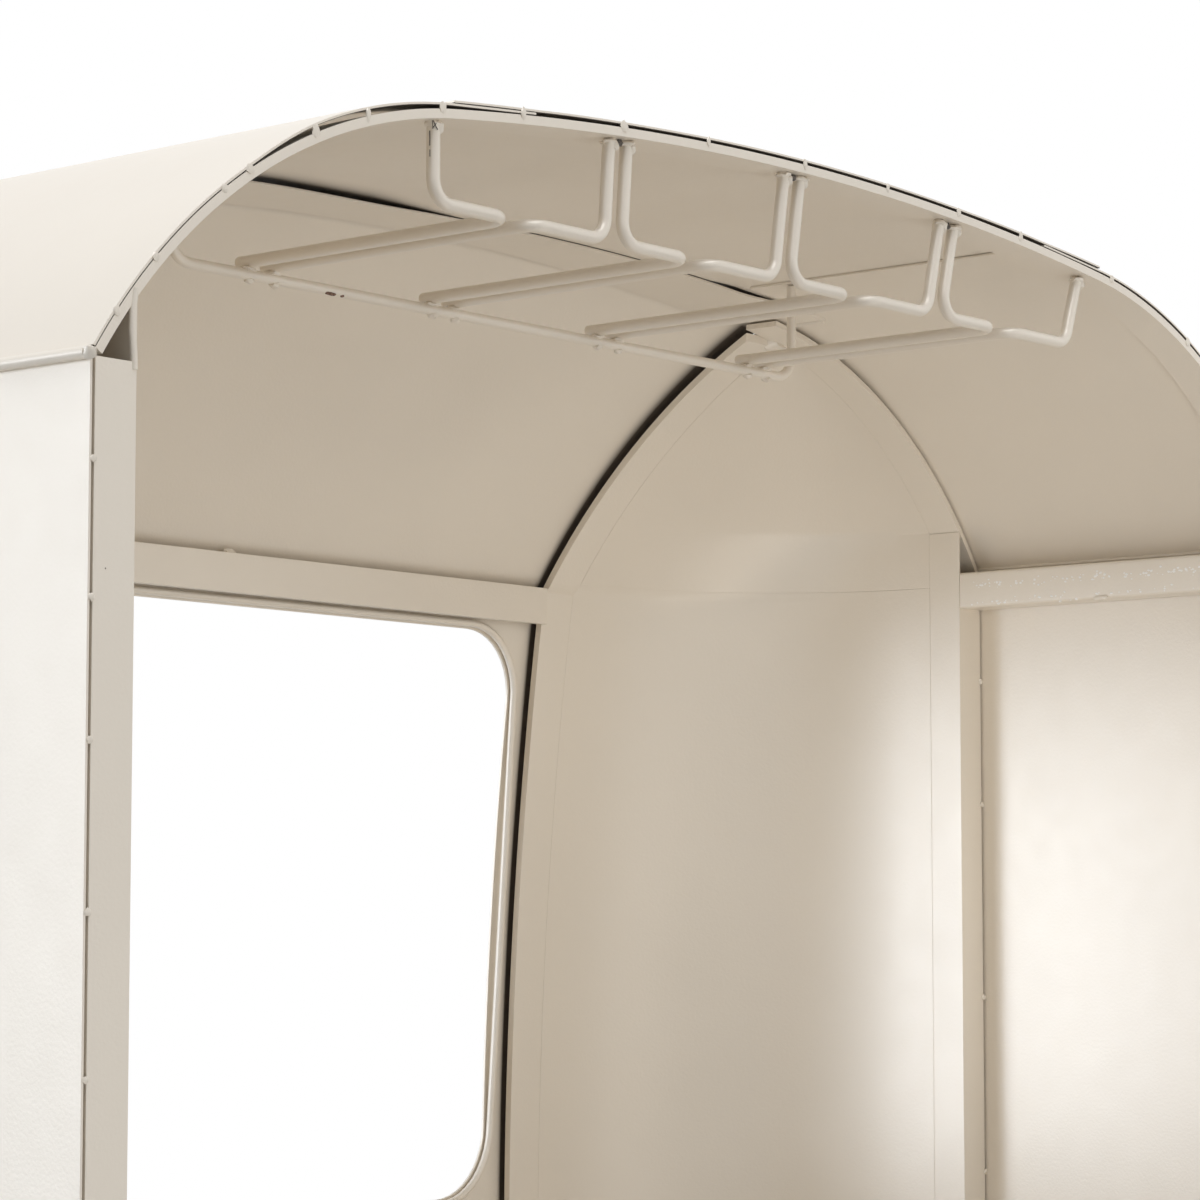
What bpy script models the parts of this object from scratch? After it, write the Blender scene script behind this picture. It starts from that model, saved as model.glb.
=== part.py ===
# Bar cabinet welded from square tube, sheet and rod, with the outline of a small van.
# Metres. X runs along the open front, Y runs back to the windscreen, Z is up.
# The origin is on the floor under the middle of the whole box.

import math

import bmesh
import bpy
from mathutils import Vector

# Overall sizes
HALF_WIDTH = 0.5334          # middle to the inner face of a side wall
BACK_DEPTH = 0.495           # front plane to the inner face of the nose panel
WALL_TOP = 1.726             # floor to the seam between wall and roof
ROOF_RISE = 0.172            # wall seam to the crown of the roof
COUNTER_HEIGHT = 1.02        # floor to the top of the counter
SILL_HEIGHT = 1.264          # floor to the fold under the windscreen
SHELF_HEIGHT = 0.53          # floor to the top of the lower shelf
SKIRT = 0.004                # floor to the lower edge of the sheets

# Stock
TUBE = 0.025                 # square tube, outside
TUBE_WALL = 0.0015
SHEET = 0.0015
GAP = 0.0003                 # clearance between pieces that touch
WELD = 0.00001               # points closer than this are one point
FLAT = 0.005                 # flat bar of the arch, ribs and windscreen frame, thickness
FLAT_WIDTH = 0.025           # the same bar, width
BACK_BAR = 0.030             # width of the upright bars beside the windscreen
ROD = 0.007                  # rack rod, diameter
CROSSBAR_ROD = 0.006
TRIM_ROD = 0.005
GUTTER_ROD = 0.006

# Roof
CROWN_RADIUS = 2.326
CROWN_HALF = 0.295           # half the width of the flat crown arc
ARCH_FOOT_RISE = 0.004       # wall seam to the end of the arch
CREASE_X = 0.300             # crease between a side flange and its shoulder
CREASE_LIFT = 0.003          # how far the sheet stands off the arch at the crease
CREASE_REACH = 0.075         # distance over which that lift fades outwards
SIDE_FLANGE = 0.066          # flange of a side shoulder under the centre panel
BACK_FLANGE = 0.053          # flange of the rear shoulder under the centre panel
PANEL_LAP = 0.004            # centre panel edge short of the crease, and past the rear fold
BACK_SHOULDER_RADIUS = 0.50
CORNER_TIP = 0.003           # blunt tip of the domed corners

# Posts and windscreen
SIDE_POST_DEPTH = 0.253      # front plane to the front of a side post
BACK_POST_X = 0.299          # middle to the near edge of a back post
FRAME_SLOT = 0.004           # open slot between the windscreen frame and the sheets behind it
BREAK_DROP = 0.017           # wall seam down to the fold over the windscreen
SEAM_DROP = 0.009            # wall seam down to the seam across the round corners
HEADER_RISE = 0.003          # header top above that fold
WINDSCREEN_RADIUS = 3.17     # slight bend of the windscreen panel
WINDOW_SIDE = 0.018          # back post to the window's edge
WINDOW_BELOW = 0.032         # sill fold to the window's lower edge
WINDOW_ROUND = 0.047         # corner radius of the window
TRIM_SET = 0.0035            # window's edge to the middle of the trim rod

# Hanging rack
CHANNELS = 4
CHANNEL_WIDTH = 0.132        # between the two uprights of a channel, at their feet
CHANNEL_GAP = 0.007          # clear gap between neighbouring channels
RAIL_SPACING = 0.019         # between the two rails of a channel
RACK_SHIFT = -0.018          # middle of the cabinet to the middle of the rack
RACK_DROP = 0.066            # crown of the roof down to the rails
RACK_FRONT = 0.008           # front plane to the uprights
RACK_LENGTH = 0.187          # uprights to the crossbar
RACK_BEND = 0.012            # bend radius of the rods
RACK_SPLAY = 0.55            # slope of an upright to the right, per metre from the first one
BAR_LEFT = 0.059             # crossbar past the first rail
BAR_RIGHT = 0.028            # crossbar past the last rail
BAR_BEND = 0.016             # bend radius at the crossbar's ends

# Doors and fittings
DOOR_GAP = 0.003             # clear gap round a door
DOOR_SHEET = 0.0012
HINGE_RADIUS = 0.005
HINGE_HALF = 0.030           # length of one hinge half
HINGE_PIN = 0.003            # pin radius
HINGE_PIN_REACH = 0.024      # pin above the lower half
HINGE_INSET = 0.12           # door's edge to the middle of a hinge
HANDLE_ROD = 0.008
HANDLE_REACH = 0.030         # door face to the middle of the grip
HANDLE_LENGTH = 0.140
HANDLE_INSET = 0.045         # door's free edge to its handle
HANDLE_HEIGHT = 0.64
HANDLE_BEND = 0.012
CATCH_WIDTH = 0.080
CATCH_DEPTH = 0.016
CATCH_HEIGHT = 0.030
COUNTER_SHEET = 0.003

# Places worked out from the sizes
CROWN = WALL_TOP + ROOF_RISE
ARCH_FOOT = WALL_TOP + ARCH_FOOT_RISE
BREAK = WALL_TOP - BREAK_DROP
BACK_OUT = BACK_DEPTH + SHEET
FRONT_OUT = HANDLE_REACH + HANDLE_ROD / 2
FRONT_Y = (FRONT_OUT - BACK_OUT) / 2
POST_OUT = HALF_WIDTH - GAP
POST_IN = POST_OUT - TUBE
SIDE_POST_BACK = SIDE_POST_DEPTH + TUBE
BACK_SEAM = BACK_POST_X + BACK_BAR / 2
BACK_POST_OUT = BACK_POST_X + BACK_BAR
CORNER_SEAM = WALL_TOP - SEAM_DROP
HEADER_TOP = BREAK + HEADER_RISE
RAIL_Z = CROWN - RACK_DROP
FLOOR_Z = TUBE + GAP
COUNTER_RAIL_TOP = COUNTER_HEIGHT - COUNTER_SHEET - GAP
DOOR_LOW = FLOOR_Z + SHEET + DOOR_GAP
DOOR_HIGH = COUNTER_RAIL_TOP - TUBE - DOOR_GAP
DOOR_OUT = POST_IN - DOOR_GAP
DOOR_IN = DOOR_GAP / 2
DOOR_THICK = TUBE - GAP
HINGE_X = POST_IN - DOOR_GAP / 2
HINGE_Y = FRONT_Y - HINGE_RADIUS - GAP
INSIDE = Vector((0.0, 0.0, (COUNTER_HEIGHT + WALL_TOP) / 2))
SIDES = (("left", -1), ("right", 1))

# Smoothness of round work
ROD_STEPS = 2                # bevel resolution of rods
BEND_STEPS = 4               # points in a rod's bend
ARC_STEPS = 12               # facets in a shoulder or a round corner
CORNER_STEPS = 3             # rows of a roof corner beside the side post
CROWN_STEPS = 8              # facets in half of the crown
TURN_STEPS = 16              # facets round a turned piece


# The scene starts empty
for old in list(bpy.data.objects):
    bpy.data.objects.remove(old)
parts = bpy.data.collections.new("bar_cabinet")
cutters = bpy.data.collections.new("bar_cabinet_cutters")
bpy.context.scene.collection.children.link(parts)
bpy.context.scene.collection.children.link(cutters)


def paint(name, colour, roughness, metallic):
    material = bpy.data.materials.new(name)
    material.use_nodes = True
    shader = material.node_tree.nodes["Principled BSDF"]
    shader.inputs["Base Color"].default_value = (*colour, 1.0)
    shader.inputs["Roughness"].default_value = roughness
    shader.inputs["Metallic"].default_value = metallic
    return material


CREAM = paint("cream_powder_coat", (0.80, 0.75, 0.67), 0.45, 0.0)
BLACK = paint("black_plastic", (0.03, 0.03, 0.03), 0.60, 0.0)


def add(name, data, material=CREAM, location=(0.0, 0.0, 0.0), parent=None):
    """Links a new object; its location is given in the cabinet's frame."""
    piece = bpy.data.objects.new(name, data)
    parts.objects.link(piece)
    if material:
        data.materials.append(material)
    piece.location = location
    if parent:
        piece.parent = parent
        piece.location -= parent.location
    return piece


# Modelling helpers

def turned_to(piece, plane):
    """Turns a flat outline drawn in X and Y into the plane XZ or YZ."""
    turns = {"XY": (0, 0, 0), "XZ": (math.pi / 2, 0, 0), "YZ": (math.pi / 2, 0, math.pi / 2)}
    piece.rotation_euler = turns[plane]


def outline(name, loops, plane, low, high):
    """A flat outline, with holes if it has more than one loop, between two planes."""
    curve = bpy.data.curves.new(name, "CURVE")
    curve.dimensions = "2D"
    curve.fill_mode = "BOTH"
    curve.extrude = (high - low) / 2
    for loop in loops:
        spline = curve.splines.new("POLY")
        spline.points.add(len(loop) - 1)
        for point, (a, b) in zip(spline.points, loop):
            point.co = (a, b, 0.0, 1.0)
        spline.use_cyclic_u = True
    middle = (low + high) / 2
    places = {"XY": (0, 0, middle), "XZ": (0, middle, 0), "YZ": (middle, 0, 0)}
    piece = add(name, curve, CREAM, Vector(places[plane]))
    turned_to(piece, plane)
    return piece


def meshed(piece):
    """Makes a curve object a welded mesh, so that it can be cut."""
    bpy.context.view_layer.update()
    graph = bpy.context.evaluated_depsgraph_get()
    mesh = bpy.data.meshes.new_from_object(piece.evaluated_get(graph))
    weld = bmesh.new()
    weld.from_mesh(mesh)
    bmesh.ops.remove_doubles(weld, verts=weld.verts, dist=WELD)
    weld.to_mesh(mesh)
    weld.free()
    name = piece.name
    place = piece.matrix_world.copy()
    bpy.data.objects.remove(piece)
    made = add(name, mesh, None)
    made.matrix_world = place
    return made


def cut(piece, cutter):
    """Takes the cutter's shape out of the piece."""
    if parts in cutter.users_collection:
        parts.objects.unlink(cutter)
        cutters.objects.link(cutter)
    cutter.hide_render = True
    cutter.display_type = "WIRE"
    modifier = piece.modifiers.new("Cut", "BOOLEAN")
    modifier.operation = "DIFFERENCE"
    modifier.solver = "EXACT"
    modifier.object = cutter


def box(name, low, high, material=CREAM):
    """A block between two corners."""
    mesh = bpy.data.meshes.new(name)
    cube = bmesh.new()
    bmesh.ops.create_cube(cube, size=1.0)
    size = Vector(high) - Vector(low)
    bmesh.ops.scale(cube, vec=size, verts=cube.verts)
    cube.to_mesh(mesh)
    cube.free()
    return add(name, mesh, material, (Vector(low) + Vector(high)) / 2)


def square(middle_a, middle_b, size):
    half = size / 2
    corners = ((-half, -half), (half, -half), (half, half), (-half, half))
    return [(middle_a + a, middle_b + b) for a, b in corners]


def tube(name, plane, middle_a, middle_b, low, high):
    """Straight hollow square tube, square to the plane that its section lies in."""
    loops = [square(middle_a, middle_b, TUBE), square(middle_a, middle_b, TUBE - 2 * TUBE_WALL)]
    return outline(name, loops, plane, low, high)


def sheet(name, place, across, along, thickness=SHEET):
    """Bent sheet: a grid laid on a surface by its two steps, thickened outwards."""
    mesh = bpy.data.meshes.new(name)
    grid = bmesh.new()
    bmesh.ops.create_grid(grid, x_segments=across, y_segments=along, size=0.5)
    for vert in grid.verts:
        column = round((vert.co.x + 0.5) * across)
        row = round((vert.co.y + 0.5) * along)
        vert.co = place(column, row)
    grid.normal_update()
    outwards = sum(face.normal.dot(face.calc_center_median() - INSIDE) for face in grid.faces)
    if outwards < 0:
        bmesh.ops.reverse_faces(grid, faces=grid.faces)
    grid.to_mesh(mesh)
    grid.free()
    piece = add(name, mesh)
    shell = piece.modifiers.new("Sheet", "SOLIDIFY")
    shell.thickness = thickness
    shell.offset = 1.0
    shell.use_even_offset = True
    return piece


def rod(name, points, diameter, closed=False, parent=None):
    """Round rod along a line of points."""
    curve = bpy.data.curves.new(name, "CURVE")
    curve.dimensions = "3D"
    curve.bevel_depth = diameter / 2
    curve.bevel_resolution = ROD_STEPS
    curve.use_fill_caps = not closed
    spline = curve.splines.new("POLY")
    spline.points.add(len(points) - 1)
    start = parent.location if parent else Vector((0.0, 0.0, 0.0))
    for point, place in zip(spline.points, points):
        point.co = (*(Vector(place) - start), 1.0)
    spline.use_cyclic_u = closed
    return add(name, curve, CREAM, start, parent)


def bent(points, radius):
    """The same line with each corner rounded to a bend."""
    line = [Vector(points[0])]
    for before, corner, after in zip(points, points[1:], points[2:]):
        corner = Vector(corner)
        back = (Vector(before) - corner).normalized()
        on = (Vector(after) - corner).normalized()
        half = back.angle(on) / 2
        middle = corner + (back + on).normalized() * radius / math.sin(half)
        start = (corner + back * radius / math.tan(half) - middle).normalized()
        end = (corner + on * radius / math.tan(half) - middle).normalized()
        for step in range(BEND_STEPS + 1):
            line.append(middle + start.slerp(end, step / BEND_STEPS) * radius)
    line.append(Vector(points[-1]))
    return line


def turned(name, profile, place, parent=None):
    """Turned piece, from its half profile listed top to bottom."""
    mesh = bpy.data.meshes.new(name)
    edges = [(index, index + 1) for index in range(len(profile) - 1)]
    mesh.from_pydata([(radius, 0.0, z) for radius, z in profile], edges, [])
    piece = add(name, mesh, CREAM, Vector(place), parent)
    screw = piece.modifiers.new("Turn", "SCREW")
    screw.steps = TURN_STEPS
    screw.render_steps = TURN_STEPS
    screw.use_merge_vertices = True
    screw.merge_threshold = WELD
    return piece


# The roof's arch: a crown arc and two shoulder arcs, tangent where they meet

CROWN_TURN = math.asin(CROWN_HALF / CROWN_RADIUS)
JOINT_Z = CROWN - CROWN_RADIUS * (1 - math.cos(CROWN_TURN))
RUN_X = HALF_WIDTH - CROWN_HALF
RUN_Z = ARCH_FOOT - JOINT_Z
SHOULDER_FALL = RUN_X * math.sin(CROWN_TURN) + RUN_Z * math.cos(CROWN_TURN)
SHOULDER_RADIUS = -(RUN_X ** 2 + RUN_Z ** 2) / (2 * SHOULDER_FALL)
SHOULDER_X = CROWN_HALF - SHOULDER_RADIUS * math.sin(CROWN_TURN)
SHOULDER_Z = JOINT_Z - SHOULDER_RADIUS * math.cos(CROWN_TURN)
ARCH_END = math.acos((ARCH_FOOT - SHOULDER_Z) / SHOULDER_RADIUS)


def arch_point(turn, off=0.0):
    """X and Z on the arch at an angle from the crown; off is outwards."""
    side = math.copysign(1.0, turn)
    turn = abs(turn)
    if turn <= CROWN_TURN:
        radius = CROWN_RADIUS + off
        return side * radius * math.sin(turn), CROWN - CROWN_RADIUS + radius * math.cos(turn)
    radius = SHOULDER_RADIUS + off
    return side * (SHOULDER_X + radius * math.sin(turn)), SHOULDER_Z + radius * math.cos(turn)


def arch_turn(x):
    """Angle from the crown of the arch at a distance from the middle."""
    if abs(x) <= CROWN_HALF:
        return math.asin(x / CROWN_RADIUS)
    return math.copysign(math.asin((abs(x) - SHOULDER_X) / SHOULDER_RADIUS), x)


def arch_z(x, off=0.0):
    return arch_point(arch_turn(x), off)[1]


def spread(first, last, steps):
    return [first + (last - first) * step / steps for step in range(steps + 1)]


def arch_turns():
    """Angles all along the arch, closer together on the shoulders."""
    half = spread(0.0, CROWN_TURN, CROWN_STEPS)[1:] + spread(CROWN_TURN, ARCH_END, ARC_STEPS)[1:]
    return [-turn for turn in reversed(half)] + [0.0] + half


def lift(x):
    """How far the side shoulders stand off the arch near their crease."""
    past = abs(x) - CREASE_X
    reach = CREASE_REACH if past > 0 else SIDE_FLANGE
    return CREASE_LIFT * max(0.0, 1 - abs(past) / reach)


# The rear outline: nose panel, slightly bent windscreen, then the rear shoulder's arc

def windscreen_depth(z):
    rise = max(0.0, z - SILL_HEIGHT)
    return BACK_DEPTH - WINDSCREEN_RADIUS + math.sqrt(WINDSCREEN_RADIUS ** 2 - rise ** 2)


FOLD_DEPTH = windscreen_depth(BREAK)
REAR_TOP = arch_z(BACK_SEAM)
CHORD_Y = SIDE_POST_BACK - FOLD_DEPTH
CHORD_Z = REAR_TOP - BREAK
CHORD = math.hypot(CHORD_Y, CHORD_Z)
CHORD_DROP = math.sqrt(BACK_SHOULDER_RADIUS ** 2 - CHORD ** 2 / 4)
REAR_Y = (FOLD_DEPTH + SIDE_POST_BACK) / 2 - CHORD_DROP * CHORD_Z / CHORD
REAR_Z = (BREAK + REAR_TOP) / 2 + CHORD_DROP * CHORD_Y / CHORD
REAR_START = math.acos((REAR_TOP - REAR_Z) / BACK_SHOULDER_RADIUS)
REAR_END = math.acos((BREAK - REAR_Z) / BACK_SHOULDER_RADIUS)


def rear_point(turn, off=0.0):
    """Depth and Z on the rear shoulder's arc; off is outwards."""
    radius = BACK_SHOULDER_RADIUS + off
    return REAR_Y + radius * math.sin(turn), REAR_Z + radius * math.cos(turn)


def skin_depth(z, off=0.0):
    """Depth of the rear skin's inner face at a height; off is outwards."""
    if z <= BREAK:
        return windscreen_depth(z) + off
    return REAR_Y + math.sqrt((BACK_SHOULDER_RADIUS + off) ** 2 - (z - REAR_Z) ** 2)


# The round corners lie flush with the inner faces of the side posts, ribs and windscreen frame
FRAME_IN = -FRAME_SLOT - FLAT
RIB_IN = -GAP - FLAT
CORNER_X = BACK_POST_OUT + GAP
CORNER_DEPTH = SIDE_POST_BACK + GAP
KNEE_RUN = POST_IN - SHOULDER_X
KNEE = SHOULDER_Z + math.sqrt((SHOULDER_RADIUS + RIB_IN) ** 2 - KNEE_RUN ** 2)


def corner_half(z):
    """Half width of a round corner's inner face at a height, along the post and then the rib."""
    if z <= KNEE:
        return POST_IN
    return SHOULDER_X + math.sqrt((SHOULDER_RADIUS + RIB_IN) ** 2 - (z - SHOULDER_Z) ** 2)


def at(x, depth, z):
    """A point given by its depth behind the front plane."""
    return Vector((x, FRONT_Y + depth, z))


# Posts and rails

def arch_clearance():
    """Cutter above the underside of the arch and ribs, wider and deeper than the posts."""
    line = [arch_point(turn, RIB_IN - GAP) for turn in arch_turns()]
    far = HALF_WIDTH + TUBE
    foot = line[0][1]
    loop = [(-far, CROWN), (-far, foot)] + line + [(far, foot), (far, CROWN)]
    low = FRONT_Y - TUBE
    high = FRONT_Y + SIDE_POST_BACK + TUBE
    return meshed(outline("arch_clearance", [loop], "XZ", low, high))


def build_tube_posts():
    """Square posts under the arch and the side ribs, their tops cut to fit and left open."""
    clearance = arch_clearance()
    for place, depth in (("front", 0.0), ("side", SIDE_POST_DEPTH)):
        front = FRONT_Y + depth
        for label, side in SIDES:
            middle = side * (POST_OUT - TUBE / 2)
            name = f"{place}_post_{label}"
            piece = meshed(tube(name, "XY", middle, front + TUBE / 2, 0.0, CROWN - TUBE))
            cut(piece, clearance)
            ends = sorted((side * (POST_IN + TUBE_WALL), side * (POST_OUT + TUBE)))
            low = (ends[0], front - TUBE, WALL_TOP)
            high = (ends[1], front + TUBE_WALL + GAP, CROWN)
            cut(piece, box(name + "_open_end", low, high))


def build_windscreen_frame():
    """Flat bars below and over the windscreen: two posts and a header, a slot away from the sheets."""
    near = FRONT_Y + BACK_DEPTH + FRAME_IN
    far = FRONT_Y + BACK_DEPTH - FRAME_SLOT
    for label, side in SIDES:
        ends = sorted((side * BACK_POST_X, side * BACK_POST_OUT))
        box("back_post_" + label, (ends[0], near, 0.0), (ends[1], far, SILL_HEIGHT - GAP))
    reach = BACK_POST_X - GAP
    back = FRONT_Y + skin_depth(HEADER_TOP, -FRAME_SLOT)
    low = (-reach, back - FLAT, HEADER_TOP - FLAT_WIDTH)
    box("windscreen_header", low, (reach, back, HEADER_TOP))


def build_side_ribs():
    """Flat bars under the roof, from the side posts up to the roof's rear corners."""
    turns = spread(arch_turn(BACK_POST_X), ARCH_END, ARC_STEPS)
    outer = [arch_point(turn, -GAP) for turn in turns]
    inner = [arch_point(turn, RIB_IN) for turn in turns]
    low = FRONT_Y + SIDE_POST_DEPTH
    for label, side in SIDES:
        loop = [(side * x, z) for x, z in outer + inner[::-1]]
        outline("side_rib_" + label, [loop], "XZ", low, low + FLAT_WIDTH)


def build_back_ribs():
    """Flat bars bent along the windscreen and the rear shoulder, from the back posts to the side ribs."""

    def line(off):
        radius = BACK_SHOULDER_RADIUS + off
        first = math.acos((BREAK - REAR_Z) / radius)
        last = math.asin((CORNER_DEPTH - REAR_Y) / radius)
        points = [(windscreen_depth(z) + off, z) for z in spread(SILL_HEIGHT, BREAK, ARC_STEPS // 2)]
        points += [rear_point(turn, off) for turn in spread(first, last, ARC_STEPS)[1:]]
        return [(FRONT_Y + depth, z) for depth, z in points]

    for label, side in SIDES:
        ends = sorted((side * BACK_POST_X, side * BACK_POST_OUT))
        outline("back_rib_" + label, [line(-FRAME_SLOT) + line(FRAME_IN)[::-1]], "YZ", *ends)


def build_front_arch():
    outer = [arch_point(turn, -GAP) for turn in arch_turns()]
    inner = [arch_point(turn, RIB_IN) for turn in arch_turns()]
    outline("front_arch", [outer + inner[::-1]], "XZ", FRONT_Y, FRONT_Y + FLAT_WIDTH)


def build_rails():
    """Straight tubes between the posts."""
    front = FRONT_Y + TUBE + GAP
    rear = FRONT_Y + SIDE_POST_DEPTH - GAP
    base = TUBE / 2
    counter = COUNTER_RAIL_TOP - TUBE / 2
    for label, side in SIDES:
        middle = side * (POST_OUT - TUBE / 2)
        tube("top_rail_" + label, "XZ", middle, WALL_TOP - TUBE / 2, front, rear)
    reach = POST_IN - GAP
    tube("base_rail_front", "YZ", FRONT_Y + TUBE / 2, base, -reach, reach)
    tube("counter_rail_front", "YZ", FRONT_Y + TUBE / 2, counter, -reach, reach)
    reach = BACK_POST_X - GAP
    back = FRONT_Y + BACK_DEPTH - GAP - TUBE / 2
    tube("base_rail_back", "YZ", back, base, -reach, reach)
    tube("counter_rail_back", "YZ", back, counter, -reach, reach)
    tube("windscreen_sill", "YZ", back, SILL_HEIGHT - TUBE / 2, -reach, reach)


# Roof sheets

def build_roof_centre():
    half = CREASE_X - PANEL_LAP
    xs = spread(-half, half, 2 * CROWN_STEPS)
    depths = (0.0, SIDE_POST_BACK + PANEL_LAP)

    def place(column, row):
        x = xs[column]
        return at(x, depths[row], arch_z(x, SHEET + GAP + lift(x)))

    sheet("roof_centre_panel", place, len(xs) - 1, 1)


def build_roof_sides():
    flange = CREASE_X - SIDE_FLANGE
    turns = [arch_turn(flange)] + spread(arch_turn(CREASE_X), ARCH_END, ARC_STEPS)
    depths = (0.0, SIDE_POST_BACK)
    notch_high = (BACK_SEAM + GAP, FRONT_Y + SIDE_POST_BACK + TUBE, CROWN + TUBE)
    notch_low = (0.0, FRONT_Y + SIDE_POST_BACK - BACK_FLANGE - GAP, WALL_TOP)
    for label, side in SIDES:

        def place(column, row):
            turn = turns[column]
            x, z = arch_point(turn, lift(arch_point(turn)[0]))
            return at(side * x, depths[row], z)

        piece = sheet("roof_shoulder_" + label, place, len(turns) - 1, 1)
        ends = sorted((side * notch_low[0], side * notch_high[0]))
        cut(piece, box("flange_notch_" + label, (ends[0], *notch_low[1:]), (ends[1], *notch_high[1:])))


def build_roof_back():
    half = BACK_SEAM - GAP
    xs = [-half] + spread(-CROWN_HALF, CROWN_HALF, 2 * CROWN_STEPS) + [half]
    turns = spread(REAR_START, REAR_END, ARC_STEPS)

    def place(column, row):
        x = xs[column]
        if row == 0:
            return at(x, SIDE_POST_BACK - BACK_FLANGE, arch_z(x))
        depth, z = rear_point(turns[row - 1])
        fade = 1 - (row - 1) / ARC_STEPS
        return at(x, depth, z + (arch_z(x) - REAR_TOP) * fade)

    sheet("roof_shoulder_back", place, len(xs) - 1, ARC_STEPS + 1)


def corner_plan(half_x, depth, clear=0.0):
    """Quarter-round plan from a side post to a back post, drawn in by a clearance."""
    line = []
    for step in range(ARC_STEPS + 1):
        turn = math.pi / 2 * step / ARC_STEPS
        x = CORNER_X + (half_x - clear - CORNER_X) * math.cos(turn)
        y = CORNER_DEPTH + (depth - clear - CORNER_DEPTH) * math.sin(turn)
        line.append((x, y))
    return line


def build_corner(name, heights):
    plans = [corner_plan(corner_half(z), skin_depth(z, FRAME_IN)) for z in heights]
    for label, side in SIDES:

        def place(column, row):
            x, depth = plans[row][column]
            return at(side * x, depth, heights[row])

        sheet(name + label, place, ARC_STEPS, len(heights) - 1)


def build_corners():
    tip_run = CORNER_DEPTH + CORNER_TIP - REAR_Y
    tip = REAR_Z + math.sqrt((BACK_SHOULDER_RADIUS + FRAME_IN) ** 2 - tip_run ** 2)
    rise = tip - KNEE
    domed = [KNEE + rise * (1 - (1 - step / ARC_STEPS) ** 2) for step in range(1, ARC_STEPS + 1)]
    build_corner("roof_corner_", spread(CORNER_SEAM, KNEE, CORNER_STEPS) + domed)
    straight = spread(SILL_HEIGHT, BREAK, ARC_STEPS // 2)
    build_corner("corner_panel_", [SKIRT] + straight + [CORNER_SEAM - GAP])


# Walls, windscreen and gutters

def build_walls():
    low = SKIRT
    high = ARCH_FOOT - GAP
    rear = FRONT_Y + SIDE_POST_BACK
    loop = [(FRONT_Y, low), (rear, low), (rear, high), (FRONT_Y, high)]
    for label, side in SIDES:
        ends = sorted((side * HALF_WIDTH, side * (HALF_WIDTH + SHEET)))
        outline("side_panel_" + label, [loop], "YZ", *ends)
    half = BACK_SEAM - GAP
    high = SILL_HEIGHT - GAP
    loop = [(-half, low), (half, low), (half, high), (-half, high)]
    outline("nose_panel", [loop], "XZ", FRONT_Y + BACK_DEPTH, FRONT_Y + BACK_OUT)


def window_line(grow, steps):
    """The window's rounded outline in X and Z, grown by a margin."""
    half = BACK_POST_X - WINDOW_SIDE + grow
    low = SILL_HEIGHT + WINDOW_BELOW - grow
    high = HEADER_TOP - FLAT_WIDTH - GAP - TRIM_ROD / 2 - TRIM_SET + grow
    radius = WINDOW_ROUND + grow
    middles = ((half - radius, high - radius), (radius - half, high - radius),
               (radius - half, low + radius), (half - radius, low + radius))
    line = []
    for quarter, (x, z) in enumerate(middles):
        for turn in spread(quarter * math.pi / 2, (quarter + 1) * math.pi / 2, steps):
            line.append((x + radius * math.cos(turn), z + radius * math.sin(turn)))
    return line


def build_windscreen():
    half = BACK_SEAM - GAP
    heights = spread(SILL_HEIGHT + GAP, BREAK - GAP, ARC_STEPS // 2)

    def place(column, row):
        x = (-half, half)[column]
        return at(x, windscreen_depth(heights[row]), heights[row])

    panel = sheet("windscreen_panel", place, 1, len(heights) - 1)
    near = FRONT_Y + FOLD_DEPTH - TUBE
    far = FRONT_Y + BACK_OUT + TUBE
    cut(panel, meshed(outline("window_opening", [window_line(0.0, BEND_STEPS)], "XZ", near, far)))
    set_in = GAP + TRIM_ROD / 2
    line = [at(x, windscreen_depth(z) - set_in, z) for x, z in window_line(TRIM_SET, BEND_STEPS)]
    rod("windscreen_trim", line, TRIM_ROD, closed=True)


def build_gutters():
    x = HALF_WIDTH + SHEET + GAP + GUTTER_ROD / 2
    z = ARCH_FOOT - GUTTER_ROD / 2
    for label, side in SIDES:
        rod("rain_gutter_" + label, [at(side * x, 0.0, z), at(side * x, SIDE_POST_BACK, z)], GUTTER_ROD)


# Hanging rack

def under_arch(x, off, radius, slope=0.0):
    """Highest Z of the middle of a rod's end under the arch; slope is the rod's lean."""
    return min(arch_z(x - radius, off), arch_z(x + radius, off)) - GAP - radius * slope


def build_rack():
    pitch = CHANNEL_WIDTH + ROD + CHANNEL_GAP
    first = RACK_SHIFT - pitch * (CHANNELS - 1) / 2
    far = RACK_FRONT + RACK_LENGTH
    rail_xs = []
    for index in range(2 * CHANNELS):
        middle = first + pitch * (index // 2)
        side = 1 if index % 2 else -1
        upright = middle + side * CHANNEL_WIDTH / 2
        rail = middle + side * RAIL_SPACING / 2
        rail_xs.append(rail)
        slope = RACK_SPLAY * (upright - first + CHANNEL_WIDTH / 2)
        end = upright + slope * (arch_z(upright, RIB_IN) - RAIL_Z)
        top = under_arch(end, RIB_IN, ROD / 2, slope)
        points = [at(end, RACK_FRONT, top), at(upright, RACK_FRONT, RAIL_Z),
                  at(rail, RACK_FRONT, RAIL_Z), at(rail, far + ROD, RAIL_Z)]
        rod(f"rack_rail_{index + 1}", bent(points, RACK_BEND), ROD)
    left = rail_xs[0] - BAR_LEFT
    right = rail_xs[-1] + BAR_RIGHT
    z = RAIL_Z - (ROD + CROSSBAR_ROD) / 2 - GAP
    points = [at(left, far, under_arch(left, 0.0, CROSSBAR_ROD / 2)), at(left, far, z),
              at(right, far, z), at(right, far, under_arch(right, 0.0, CROSSBAR_ROD / 2))]
    rod("rack_crossbar", bent(points, BAR_BEND), CROSSBAR_ROD)


# Counter, shelf and floor

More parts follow.
